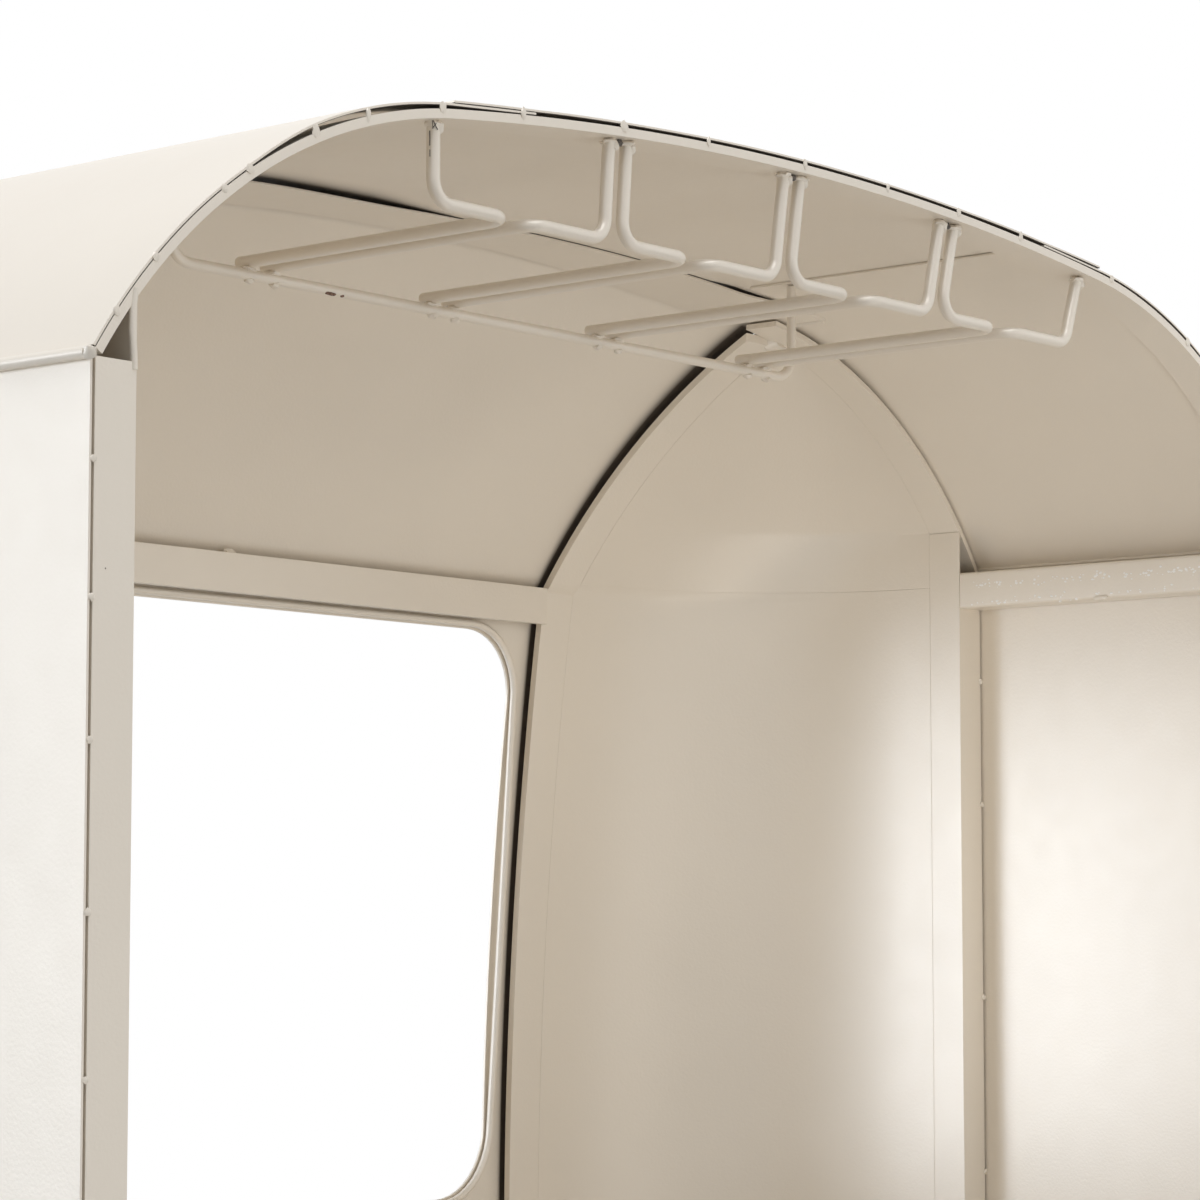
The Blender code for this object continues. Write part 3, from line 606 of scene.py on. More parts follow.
CROWN_TURN = asin(CROWN_HALF / CROWN_RADIUS)
JOINT_Z = CROWN - CROWN_RADIUS * (1 - cos(CROWN_TURN))
RUN_X = HALF_WIDTH - CROWN_HALF
RUN_Z = ARCH_FOOT - JOINT_Z
SHOULDER_FALL = RUN_X * sin(CROWN_TURN) + RUN_Z * cos(CROWN_TURN)
SHOULDER_RADIUS = -(RUN_X ** 2 + RUN_Z ** 2) / (2 * SHOULDER_FALL)
SHOULDER_X = CROWN_HALF - SHOULDER_RADIUS * sin(CROWN_TURN)
SHOULDER_Z = JOINT_Z - SHOULDER_RADIUS * cos(CROWN_TURN)
ARCH_END = acos((ARCH_FOOT - SHOULDER_Z) / SHOULDER_RADIUS)


def arch_point(turn, off=0.0):
    """X and Z on the arch at an angle from the crown; off is outwards."""
    side = copysign(1.0, turn)
    turn = abs(turn)
    if turn <= CROWN_TURN:
        radius = CROWN_RADIUS + off
        return side * radius * sin(turn), CROWN - CROWN_RADIUS + radius * cos(turn)
    radius = SHOULDER_RADIUS + off
    return side * (SHOULDER_X + radius * sin(turn)), SHOULDER_Z + radius * cos(turn)


def arch_turn(x):
    """Angle from the crown of the arch at a distance from the middle."""
    if abs(x) <= CROWN_HALF:
        return asin(x / CROWN_RADIUS)
    return copysign(asin((abs(x) - SHOULDER_X) / SHOULDER_RADIUS), x)


def arch_z(x, off=0.0):
    return arch_point(arch_turn(x), off)[1]


def spread(first, last, steps):
    return [first + (last - first) * step / steps for step in range(steps + 1)]


def arch_turns():
    half = spread(0.0, CROWN_TURN, CROWN_STEPS)[1:] + spread(CROWN_TURN, ARCH_END, ARC_STEPS)[1:]
    return [-turn for turn in reversed(half)] + [0.0] + half


def eased(share):
    """Runs softly from 0 to 1."""
    share = min(1.0, max(0.0, share))
    return share * share * (3 - 2 * share)


def lift(x, share=1.0):
    """How far a side shoulder stands off the arch: flange, crease, bulge, then flush."""
    x = abs(x)
    if x >= BULGE_END:
        return 0.0
    if x >= BULGE_X:
        return share * BULGE_LIFT * (1 + cos(pi * (x - BULGE_X) / (BULGE_END - BULGE_X))) / 2
    if x >= CREASE_X:
        rise = sin(pi / 2 * (x - CREASE_X) / (BULGE_X - CREASE_X))
        return share * (CREASE_LIFT + (BULGE_LIFT - CREASE_LIFT) * rise)
    return share * CREASE_LIFT * max(0.0, 1 - (CREASE_X - x) / SIDE_FLANGE)


def panel_off(x):
    """How far the centre panel's inner face is off the arch: low in the middle, over the flanges."""
    over = SHEET + lift(max(abs(x), FREE_HALF))
    rise = eased((abs(x) - FREE_HALF * PANEL_FLAT) / (FREE_HALF * PANEL_RISE))
    return PANEL_OFF + (over - PANEL_OFF) * rise


def middle_share(x):
    """One over the middle of the roof, nothing where the side sheets begin."""
    return 1 - eased((abs(x) - FREE_HALF) / (CREASE_X - FREE_HALF))


def rear_dip(x):
    """How far the upper side of the rear flange's free edge lies below the arch."""
    if x < DIP_FULL:
        return REAR_DIP * eased((x - DIP_FROM) / (DIP_FULL - DIP_FROM))
    return REAR_DIP * (1 - eased((x - DIP_LESS) / (DIP_END - DIP_LESS)))


def panel_height(x, depth):
    """The centre panel's inner face over the arch: dipped over the rear flange, sprung up on the left."""
    front = panel_off(x)
    gap = GAP + REAR_GAP * eased((x - REAR_GAP_FROM) / (REAR_GAP_FULL - REAR_GAP_FROM))
    held = eased((abs(x) - FREE_HALF * PANEL_HELD) / (FREE_HALF * PANEL_HOLD))
    rear = (gap - rear_dip(x)) * (1 - held) + front * held
    if depth > REAR_EDGE:
        over = max(rear, SHEET + GAP - FOLD_DROP * middle_share(x))
        return rear + (over - rear) * (depth - REAR_EDGE) / (POST_BACK + PANEL_LAP - REAR_EDGE)
    return front + (rear - front) * eased(depth / REAR_EDGE)


# The rear outline: slightly bent windscreen, then the rear shoulder's arc

def screen_depth(z):
    rise = max(0.0, z - SILL)
    return BACK_DEPTH - SCREEN_RADIUS + sqrt(SCREEN_RADIUS ** 2 - rise ** 2)


FOLD_DEPTH = screen_depth(BREAK)
REAR_TOP = arch_z(BACK_SEAM)
CHORD_Y = POST_BACK - FOLD_DEPTH
CHORD_Z = REAR_TOP - BREAK
CHORD = hypot(CHORD_Y, CHORD_Z)
CHORD_DROP = sqrt(REAR_RADIUS ** 2 - CHORD ** 2 / 4)
REAR_Y = (FOLD_DEPTH + POST_BACK) / 2 - CHORD_DROP * CHORD_Z / CHORD
REAR_Z = (BREAK + REAR_TOP) / 2 + CHORD_DROP * CHORD_Y / CHORD
REAR_START = acos((REAR_TOP - REAR_Z) / REAR_RADIUS)
REAR_END = acos((BREAK - REAR_Z) / REAR_RADIUS)
FRAME_IN = -FRAME_SLOT - FLAT
RIB_IN = -GAP - FLAT
CORNER_X = BACK_POST_OUT
KNEE = SHOULDER_Z + sqrt((SHOULDER_RADIUS + RIB_IN) ** 2 - (POST_IN - SHOULDER_X) ** 2)


def rear_point(turn, off=0.0):
    """Depth and Z on the rear shoulder's arc; off is outwards."""
    radius = REAR_RADIUS + off
    return REAR_Y + radius * sin(turn), REAR_Z + radius * cos(turn)


def skin_depth(z, off=0.0):
    """Depth of the rear skin's inner face at a height; off is outwards."""
    if z <= BREAK:
        return screen_depth(z) + off
    return REAR_Y + sqrt((REAR_RADIUS + off) ** 2 - (z - REAR_Z) ** 2)


def corner_half(z):
    """Half width of a round corner's inner face at a height, along the post and then the rib."""
    if z <= KNEE:
        return POST_IN
    return SHOULDER_X + sqrt((SHOULDER_RADIUS + RIB_IN) ** 2 - (z - SHOULDER_Z) ** 2)


def at(x, depth, z):
    """A point given by its depth behind the front plane."""
    return Vector((x, FRONT_Y + depth, z))


# Frame of tubes and bars

def build_tubes():
    for label, _ in SIDES:
        tube_piece("front_post_" + label, 2)
        tube_piece("side_post_" + label, 2)
        tube_piece("top_rail_" + label, 1)
    for node in ("base_rail_front", "base_rail_back", "counter_rail_front", "counter_rail_back",
                 "windscreen_sill"):
        tube_piece(node, 0)


def arch_sections(turns, near, far, side=1, off=-GAP):
    sections = []
    for turn in turns:
        (outer_x, outer_z), (inner_x, inner_z) = arch_point(turn, off), arch_point(turn, RIB_IN)
        sections.append([at(side * outer_x, near, outer_z), at(side * outer_x, far, outer_z),
                         at(side * inner_x, far, inner_z), at(side * inner_x, near, inner_z)])
    return sections


def build_bars():
    bar_piece("front_arch", arch_sections(arch_turns(), 0.0, FLAT_WIDTH))
    turns = spread(arch_turn(BACK_POST_X), ARCH_END, ARC_STEPS)
    heights = spread(SILL, BREAK, ARC_STEPS // 2)
    for label, side in SIDES:
        rib = arch_sections(turns, POST_DEPTH, POST_DEPTH + FLAT_WIDTH, side, -RIB_GAP)
        bar_piece("side_rib_" + label, rib)
        ends = (side * BACK_POST_X, side * BACK_POST_OUT)
        plain_piece("back_post_" + label, SHEET_EDGE)
        lines = []
        for off in (-FRAME_SLOT, FRAME_IN):
            radius = REAR_RADIUS + off
            first = acos((BREAK - REAR_Z) / radius)
            last = asin((POST_BACK - REAR_Y) / radius)
            lines.append([(screen_depth(z) + off, z) for z in heights]
                         + [rear_point(turn, off) for turn in spread(first, last, ARC_STEPS)[1:]])
        rings = [[at(ends[0], *outer), at(ends[1], *outer), at(ends[1], *inner), at(ends[0], *inner)]
                 for outer, inner in zip(*lines)]
        bar_piece("back_rib_" + label, rings)
    plain_piece("windscreen_header", SHEET_EDGE)


# Roof sheets and round corners

def build_roof():
    half = CREASE_X - PANEL_LAP
    xs = spread(-half, half, 2 * CROWN_STEPS)
    depths = spread(0.0, REAR_EDGE, BEND_STEPS) + [POST_BACK + PANEL_LAP]

    def panel_place(column, row):
        x = xs[column]
        return at(x, depths[row], arch_z(x, panel_height(x, depths[row])))

    sheet_piece("roof_centre_panel", panel_place, len(xs) - 1, len(depths) - 1, material=PANEL_SHADED_COAT)
    seam = arch_turn(BACK_SEAM + GAP)
    turns = [arch_turn(FREE_HALF)] + spread(arch_turn(CREASE_X), seam, 3)
    notch = len(turns) - 1
    turns += spread(seam, ARCH_END, ARC_STEPS)[1:]
    behind_arch = FLAT_WIDTH + GAP
    sags = spread(behind_arch + SHEET, SAG_END, BEND_STEPS)
    rows = [0.0, behind_arch] + sags + [POST_BACK - BACK_FLANGE - GAP, POST_BACK]
    for label, side in SIDES:

        def place(column, row):
            turn = turns[column]
            x, z = arch_point(turn, lift(arch_point(turn)[0], BULGE_SHARE[label]))
            if column == 0 and rows[row] in sags:
                z -= FLANGE_SAG * SAG_SHARE[label] * (1 - sags.index(rows[row]) / BEND_STEPS)
            return at(side * x, rows[row], z)

        sheet_piece("roof_shoulder_" + label, place, len(turns) - 1, len(rows) - 1,
                    lambda column, row: row == len(rows) - 2 and column < notch, material=SHOULDER_SHADED_COAT)
    half = BACK_SEAM - GAP
    back_xs = [-half] + spread(-CREASE_X, CREASE_X, 2 * CROWN_STEPS) + [half]

    def rear_place(column, row):
        x = back_xs[column]
        share = middle_share(x)
        if row == 0:
            z = arch_z(x) - (rear_dip(x) + SHEET) * share
            return at(x, POST_BACK - BACK_FLANGE + FOLD_SHIFT * share, z)
        first = REAR_START + FOLD_TURN * share
        part = (row - 1) / ARC_STEPS
        depth, z = rear_point(first + (REAR_END - first) * part)
        return at(x, depth, z + (arch_z(x) - REAR_TOP) * (1 - part))

    sheet_piece("roof_shoulder_back", rear_place, len(back_xs) - 1, ARC_STEPS + 1, material=REAR_SHADED_COAT)


def corner_plan(half_x, depth):
    line = []
    for turn in spread(0.0, pi / 2, ARC_STEPS):
        line.append((CORNER_X + (half_x - CORNER_X) * cos(turn),
                     POST_BACK + (depth - POST_BACK) * sin(turn)))
    return line


def build_corners():
    tip_run = POST_BACK + CORNER_TIP - REAR_Y
    tip = REAR_Z + sqrt((REAR_RADIUS + FRAME_IN) ** 2 - tip_run ** 2)
    domed = [KNEE + (tip - KNEE) * (1 - (1 - step / ARC_STEPS) ** 2) for step in range(1, ARC_STEPS + 1)]
    rows = {"roof_corner_": spread(CORNER_SEAM, KNEE, 3) + domed,
            "corner_panel_": [SKIRT] + spread(SILL, BREAK, ARC_STEPS // 2) + [CORNER_SEAM]}
    for name, heights in rows.items():
        plans = [corner_plan(corner_half(z), skin_depth(z, FRAME_IN)) for z in heights]
        for label, side in SIDES:

            def place(column, row):
                x, depth = plans[row][column]
                return at(side * x, depth, heights[row])

            sheet_piece(name + label, place, ARC_STEPS, len(heights) - 1)


# Walls and windscreen

def build_walls():
    for label, side in SIDES:
        node = "side_panel_" + label
        work = copied(node)
        bmesh.ops.translate(work, vec=(side * SEAM_OPEN, 0.0, 0.0), verts=work.verts)
        coated(node, mesh_of(node + "_wall", work), SHEET_EDGE)
    plain_piece("nose_panel", SHEET_EDGE, REAR_SHADED_COAT)


def window_line(grow, steps):
    """The window's rounded outline in X and Z, grown by a margin."""
    half = BACK_POST_X - WINDOW_SIDE + grow
    bottom = SILL + WINDOW_BELOW - grow
    top = HEADER_LOW - GAP - TRIM_ROD / 2 - TRIM_SET + grow
    radius = WINDOW_ROUND + grow
    middles = ((half - radius, top - radius), (radius - half, top - radius),
               (radius - half, bottom + radius), (half - radius, bottom + radius))
    line = []
    for quarter, (x, z) in enumerate(middles):
        for turn in spread(quarter * pi / 2, (quarter + 1) * pi / 2, steps):
            line.append((x + radius * cos(turn), z + radius * sin(turn)))
    return line


def build_windscreen():
    """Bent panel with the window cut out of it, and the trim rod round the window."""
    half = BACK_SEAM - GAP
    xs = spread(-half, half, PANEL_COLUMNS)
    heights = spread(SILL + GAP, BREAK - GAP, ARC_STEPS // 2)
    near = FOLD_DEPTH - TUBE
    far = BACK_DEPTH + TUBE
    rings = [[at(x, depth, z) for x, z in window_line(0.0, BEND_STEPS)] for depth in (near, far)]
    cutter = linked("window_cutter", swept("window_cutter", rings))
    sheet_piece("windscreen_panel",
                lambda column, row: at(xs[column], screen_depth(heights[row]), heights[row]),
                PANEL_COLUMNS, len(heights) - 1, cutter=cutter, material=REAR_SHADED_COAT)
    bpy.data.objects.remove(cutter)
    set_in = GAP + TRIM_ROD / 2
    line = [at(x, screen_depth(z) - set_in, z) for x, z in window_line(TRIM_SET, BEND_STEPS)]
    rod_piece("windscreen_trim", line, TRIM_ROD, closed=True)


def build_gutters():
    for label, _ in SIDES:
        node = "rain_gutter_" + label
        middle = middle_of(node)
        ends = [Vector((middle.x, y, middle.z)) for y in (low(node).y, high(node).y)]
        rod_piece(node, ends, GUTTER_ROD)


# Hanging rack

def build_rack():
    half = ROD / 2
    rails = [high(f"rack_rail_{index}").x - half if index % 2 else low(f"rack_rail_{index}").x + half
             for index in range(1, 9)]
    first = (rails[0] + rails[1] - CHANNEL_WIDTH) / 2
    ends = []
    for index, rail in enumerate(rails):
        node = f"rack_rail_{index + 1}"
        pair = index - index % 2
        middle = (rails[pair] + rails[pair + 1]) / 2
        upright = middle + CHANNEL_WIDTH / 2 * (1 if index % 2 else -1)
        slope = RACK_SPLAY * (upright - first)
        end = upright + slope * (arch_z(upright, RIB_IN) - RAIL_Z)
        top = min(arch_z(end - half, RIB_IN), arch_z(end + half, RIB_IN)) - GAP - half * slope
        front = low(node).y + half
        points = [(end, front, top), (upright, front, RAIL_Z), (rail, front, RAIL_Z),
                  (rail, high(node).y, RAIL_Z)]
        rod_piece(node, bent(points, RACK_BEND), ROD)
        ends.append(Vector(points[0]))
    corner, far = low("rack_crossbar"), high("rack_crossbar")
    half = BAR_ROD / 2
    depth = corner.y + half
    left, right = corner.x + half, far.x - half
    z = corner.z + half
    tops = [min(arch_z(x - half), arch_z(x + half)) - GAP for x in (left, right)]
    points = [(left, depth, tops[0]), (left, depth, z), (right, depth, z), (right, depth, tops[1])]
    rod_piece("rack_crossbar", bent(points, BAR_BEND), BAR_ROD)
    build_rack_welds(ends, rails, depth, z)


# Welds

LUMPY = 0.45  # how uneven a blob is
LUMP_NOISE = 1.6
LUMP_STEPS = (3.7, 1.9, 0.8)  # way through the noise from one blob to the next

# Tacks along the front arch: place along the front and half width
ARCH_TACKS = ((-0.5206, 0.0016), (-0.4971, 0.0016), (-0.4542, 0.0016), (-0.4379, 0.0020), (-0.3942, 0.0017),
              (-0.3582, 0.0013), (-0.3046, 0.0018), (-0.2443, 0.0014), (-0.1640, 0.0022), (-0.0928, 0.0011),
              (-0.0064, 0.0015), (0.0723, 0.0011), (0.1432, 0.0014), (0.2083, 0.0016), (0.3091, 0.0020),
              (0.3982, 0.0020), (0.4560, 0.0016), (0.5010, 0.0018))
FRONT_TACKS = (1.680, 1.618, 1.555, 1.479, 1.406)  # heights on the front posts, as the photo shows them
FRONT_STEP = 0.076  # and on down from there
POST_TACKS = (1.651, 1.565, 1.431, 1.311)  # heights on the side posts
POST_STEP = 0.120
TACK = 0.0022  # usual half size of a tack
NOTCH_DEPTH = 0.137  # depth of a blob on each top rail's lower edge
WALL_TACK = (TACK, 0.0009, TACK * 0.8)
POST_TACK = (TACK, TACK * 0.7, TACK)

# Half sizes of other blobs, and where they sit
ARCH_TACK_WIDE, ARCH_TACK_DEEP = 1.35, 0.0008
ARCH_TACK_SINK, ARCH_TACK_OVER = 0.0006, 0.0024
GUTTER_BLOB, GUTTER_IN = (0.0036, 0.0040, 0.0036), 0.001
RAIL_BLOB, RAIL_UP = (0.0009, 0.0060, 0.0017), 0.0008
CORNER_BLOB, CORNER_OUT, CORNER_DOWN = (0.011, 0.008, 0.006), 0.002, 0.0045
HEADER_BLOB, HEADER_DOWN = (0.0026, 0.0030, 0.0125), 0.008
HEADER_NIB, NIB_X, NIB_OUT = (0.0052, 0.0020, 0.0030), -0.003, 0.001
HANDLE_FOOT = (HANDLE_ROD * 0.74, HANDLE_ROD * 0.22, HANDLE_ROD * 0.74)
ROD_BLOBS = (((0.0, 0.0, -0.001), (0.0047, 0.0045, 0.0024)),
             ((0.002, -0.0015, -0.003), (0.0030, 0.0026, 0.0034)))
BAR_BLOBS = (((0.0, 0.0, BAR_ROD / 2), (0.0048, 0.0042, 0.0018)),
             ((0.001, 0.0, -BAR_ROD / 2), (0.0032, 0.0026, 0.0022)))
DARK_PATCH, DARK_PATCH_OUT, DARK_PATCH_DOWN = (0.0024, 0.0012, 0.0020), 0.0012, 0.0010

# Burn strokes at the first rod's top: offset and lean of each, then run for a full lean and drop
SCORCH_WAYS = ((-0.0040, 0.75), (-0.0014, -0.80), (-0.0048, 0.15))
STROKE_RUN = ((0.0, 0.0), (0.0016, 0.0020), (0.0042, 0.0040))
STROKE_PROUD, STROKE_DOWN = 0.0002, 0.0004
STROKE = 0.00045
# Dark lines down its side: how far proud of the rod and how far below its top
SIDE_DARK_LINES = (((0.0001, 0.005), (0.0, 0.009), (0.0001, 0.0125)), ((-0.0001, 0.0145), (-0.0001, 0.018)))
# Bare chips on the crossbar: X, shares of its radius to the front and down, half sizes
CHIPS = ((-0.184, 0.55, 0.72, (0.0045, 0.0012, 0.0012)), (-0.175, 0.5, 0.76, (0.0016, 0.0009, 0.0009)))

SPATTER_COUNT = 150
SPATTER_SIZE = (0.0003, 0.0009)
SPATTER_FORM = (0.32, 1.4, 1.0)
SPATTER_BANDS = (0.13, 0.60, 0.60)  # height of every third drop and of the others, in shares of the rail
SPATTER_SPREAD = 0.06
SPATTER_MARGIN = 0.01


def lump(work, place, size, seed):
    """Adds a small uneven blob of weld metal to a mesh."""
    shift = Vector([seed * step for step in LUMP_STEPS])
    for point in bmesh.ops.create_icosphere(work, subdivisions=2, radius=1.0)["verts"]:
        rough = 1 + LUMPY * noise.noise(point.co * LUMP_NOISE + shift)
        point.co = place + Vector([share * half * rough for share, half in zip(point.co, size)])


def lumps_piece(name, lumps, material=BEAD, body="cabinet"):
    """One piece made of many blobs, each a place and three half sizes."""
    work = bmesh.new()
    for seed, (place, size) in enumerate(lumps):
        lump(work, place, size, seed)
    piece_of(name, mesh_of(name, work), material, body)


def add_lines(work, lines, diameter):
    """Adds thin rods along lines of points to a mesh."""
    for line in lines:
        part = rod_mesh("line", line, diameter)
        work.from_mesh(part)
        bpy.data.meshes.remove(part)


def bead_piece(name, lines, radius, body="cabinet"):
    """Weld beads along lines of points, as one piece."""
    work = bmesh.new()
    add_lines(work, lines, radius * 2)
    piece_of(name, mesh_of(name, work), BEAD, body)


def build_seals():
    """Beads that close the rear seams, so that no light leaks past the bars."""
    rear, sides, walls = [], [], []
    notch = POST_BACK - BACK_FLANGE
    x = BACK_SEAM + SEAM_SIDE
    inside = -SEAL_SET * SEAL
    for _, side in SIDES:
        line = [at(side * across, depth, arch_z(across, SHEET / 2)) for across, depth in
                ((CREASE_X - 3 * PANEL_LAP, notch), (BACK_SEAM - SEAL, notch), (x, notch + SEAL),
                 (x, POST_BACK - SEAL))]
        for turn in spread(REAR_START, REAR_END, ARC_STEPS):
            line.append(at(side * x, *rear_point(turn, inside)))
        for z in spread(BREAK, SILL, ARC_STEPS // 2)[1:] + [SKIRT + SEAL]:
            line.append(at(side * x, skin_depth(z, inside), z))
        rear.append(line)
        line = []
        for turn in spread(arch_turn(BACK_SEAM), ARCH_END, ARC_STEPS):
            across, z = arch_point(turn, -FINE_SEAL)
            line.append(at(side * across, POST_BACK + FINE_SEAL, z))
        sides.append(line)
        across = side * (POST_OUT + SEAM_OPEN / 2)
        walls.append([at(across, POST_BACK, SKIRT + SEAL), at(across, POST_BACK, ARCH_FOOT)])
        walls.append([at(across, WALL_SEAL_FROM, ARCH_FOOT), at(across, POST_BACK, ARCH_FOOT)])
    bead_piece("rear_seam_weld", rear, SEAL)
    bead_piece("corner_seam_weld", sides, SEAL)
    bead_piece("wall_seam_weld", walls, FINE_SEAL)


def downwards(heights, step):
    """The given heights and more below them at an even step."""
    rest = int((heights[-1] - SKIRT - step / 2) / step)
    return list(heights) + [heights[-1] - step * count for count in range(1, rest + 1)]


def build_tacks():
    lumps = []
    for x, half in ARCH_TACKS:
        side = "left" if x < 0 else "right"
        gap = lift(x, BULGE_SHARE[side]) if abs(x) > CREASE_X else panel_off(x)
        size = (half * ARCH_TACK_WIDE, ARCH_TACK_DEEP, gap / 2 + ARCH_TACK_OVER)
        lumps.append((at(x, 0.0, arch_z(x, gap / 2 - ARCH_TACK_SINK)), size))
    for label, side in SIDES:
        x = side * (POST_OUT + SEAM_OPEN / 2)
        for z in downwards(FRONT_TACKS, FRONT_STEP):
            lumps.append((at(x, 0.0, z), WALL_TACK))
        for z in downwards(POST_TACKS, POST_STEP):
            lumps.append((at(side * POST_OUT, POST_DEPTH, z), POST_TACK))
        gutter = "rain_gutter_" + label
        middle = middle_of(gutter)
        for y in (low(gutter).y, high(gutter).y):
            lumps.append((Vector((middle.x - side * GUTTER_IN, y, middle.z)), GUTTER_BLOB))
        rail = "top_rail_" + label
        lumps.append((at(inner_x(rail, side), NOTCH_DEPTH, low(rail).z + RAIL_UP), RAIL_BLOB))
        z = arch_z(CORNER_X) - CORNER_DOWN
        lumps.append((at(side * (CORNER_X + CORNER_OUT), POST_BACK + CORNER_OUT, z), CORNER_BLOB))
        z = HEADER_TOP - HEADER_DOWN
        lumps.append((at(side * BACK_POST_X, skin_depth(z) - FRAME_SLOT / 2, z), HEADER_BLOB))
    lumps.append((at(NIB_X, skin_depth(HEADER_TOP) - FLAT - NIB_OUT, HEADER_TOP), HEADER_NIB))
    lumps_piece("weld_tacks", lumps)


def build_post_welds():
    """Beads along the cut tops of the front posts' inner walls."""
    lines = []
    for label, side in SIDES:
        x = inner_x("front_post_" + label, side) + side * POST_BEAD * POST_BEAD_IN
        top = arch_z(x, RIB_IN)
        heights = spread(top + POST_BEAD_UP, top - POST_CUT, len(POST_WAVER) - 1)
        lines.append([at(x + side * bend, POST_BEAD * POST_BEAD_BACK, z)
                      for bend, z in zip(POST_WAVER, heights)])
    bead_piece("post_top_weld", lines, POST_BEAD)


def build_rack_welds(tops, rails, bar_y, bar_z):
    """Blobs where the rods meet the arch and the crossbar."""
    lumps = []
    for top in tops:
        lumps += [(top + Vector(off), size) for off, size in ROD_BLOBS]
    for x in rails:
        lumps += [(Vector((x, bar_y, bar_z)) + Vector(off), size) for off, size in BAR_BLOBS]
    lumps_piece("rack_welds", lumps)
    build_scorch(tops, bar_y, bar_z)


def build_scorch(tops, bar_y, bar_z):
    """Burn strokes at the first rod's top, dark lines down its side, dark patches between other rod tops,
    and a bare chip on the crossbar.
    """
    top = tops[0]
    strokes = []
    for shift, lean in SCORCH_WAYS:
        start = top + Vector((shift, -ROD / 2 - STROKE_PROUD, -STROKE_DOWN))
        strokes.append([start + Vector((lean * run, 0.0, -drop)) for run, drop in STROKE_RUN])
    for burn in SIDE_DARK_LINES:
        strokes.append([top + Vector((-ROD / 2 - proud, -ROD / 8, -drop)) for proud, drop in burn])
    work = bmesh.new()
    add_lines(work, strokes, STROKE)
    for index, (left, right) in enumerate(zip(tops[1::2], tops[2::2])):
        lump(work, (left + right) / 2 + Vector((0.0, -DARK_PATCH_OUT, -DARK_PATCH_DOWN)), DARK_PATCH, index)
    piece_of("scorch_and_dark_marks", mesh_of("scorch_and_dark_marks", work), SCORCH_AND_DARK, "cabinet")
    half = BAR_ROD / 2
    chips = [(Vector((x, bar_y - half * front, bar_z - half * down)), size)
             for x, front, down, size in CHIPS]
    lumps_piece("crossbar_chips", chips, RUST)


def build_spatter():
    """Weld spatter on the top rails' inner faces, above their middle and near their lower edge."""
    draw = random.Random(7)
    lumps = []
    for label, side in SIDES:
        rail = "top_rail_" + label
        corner, far = low(rail), high(rail)
        for count in range(SPATTER_COUNT):
            y = draw.uniform(corner.y + SPATTER_MARGIN, far.y - SPATTER_MARGIN)
            z = corner.z + (far.z - corner.z) * draw.gauss(SPATTER_BANDS[count % 3], SPATTER_SPREAD)
            size = draw.uniform(*SPATTER_SIZE)
            lumps.append((Vector((inner_x(rail, side), y, z)), scaled(SPATTER_FORM, size)))
    # The drops take the lighter coat: painted highlights
    lumps_piece("rail_spatter", lumps, SPATTER_HIGHLIGHT_COAT)


# Lower half

def build_lower_half():
    for node in ("counter_top", "cabinet_floor", "shelf"):
        plain_piece(node, SHEET_EDGE)
    plain_piece("door_catch", CATCH_EDGE, PLASTIC)
    for label, side in SIDES:
        body = "door_" + label
        plain_piece(body, SHEET_EDGE, body=body)
        node = "door_handle_" + label
        corner, far = low(node), high(node)
        half = HANDLE_ROD / 2
        x = corner.x + half
        points = [(x, far.y, corner.z + half), (x, corner.y + half, corner.z + half),
                  (x, corner.y + half, far.z - half), (x, far.y, far.z - half)]
        rod_piece(node, bent(points, HANDLE_BEND), HANDLE_ROD, body)
        feet = [(Vector(points[end]), HANDLE_FOOT) for end in (0, -1)]
        lumps_piece("handle_welds_" + label, feet, body=body)
        for level in ("lower", "upper"):
            for part, rider, face in (("post", "cabinet", FRONT_Y), ("door", body, low(body).y)):
                node = f"{level}_hinge_{part}_half_{label}"
                plain_piece(node, SHEET_EDGE, body=rider)
                build_hinge_weld(node, rider, face, side if part == "post" else -side)


def build_hinge_weld(node, body, face, way):
    """A bead down the side of a hinge barrel that faces away from the other half's leaf."""
    corner, far = low(node), high(node)
    barrel = (far.y - corner.y) / 2
    x = (corner.x + far.x) / 2 + way * barrel * HINGE_SIDE
    y = face - HINGE_BEAD * HINGE_SET
    ends = [Vector((x, y, z)) for z in (corner.z + HINGE_END, far.z - HINGE_END)]
    bead_piece(node + "_weld", [ends], HINGE_BEAD, body)


# Stage, light and camera

FLOOR_SIZE = 16.0
FLOOR_COLOUR = (0.86, 0.86, 0.855, 1.0)
FLOOR_ROUGH = 0.7
FILL_COLOUR = (0.99, 1.0, 1.02, 1.0)
FILL_FROM = Vector((-0.4, -0.7, 0.6))
FILL_STRONG = 0.20  # light from straight along that way
FILL_WEAK = 0.09  # light from everywhere else
BACKDROP = 0.71  # more light from the white backdrop behind
BACKDROP_RISE = 0.5  # how far behind it is full
KEY_FROM = Vector((-0.83, 0.56, 0.05))
FRONT_FILL_FROM = Vector((0.50, -0.86, 0.10))
SUN_AWAY = 6  # how far off a sun is placed
MIDDLE = Vector((0.0, 0.0, 1.5))  # what most lamps aim at
WHITE = (1.0, 1.0, 1.0)
WARM = (1.0, 0.98, 0.95)
CAMERA_PLACE = at(-1.6609, -1.2389, CROWN - 0.4374)
CAMERA_LOOK = Vector((0.7628, 0.6398, 0.0936))
CAMERA_FOCAL = 3771 / 1200  # focal length in picture widths
CAMERA_SENSOR = 36.0
CAMERA_FAR = 60.0


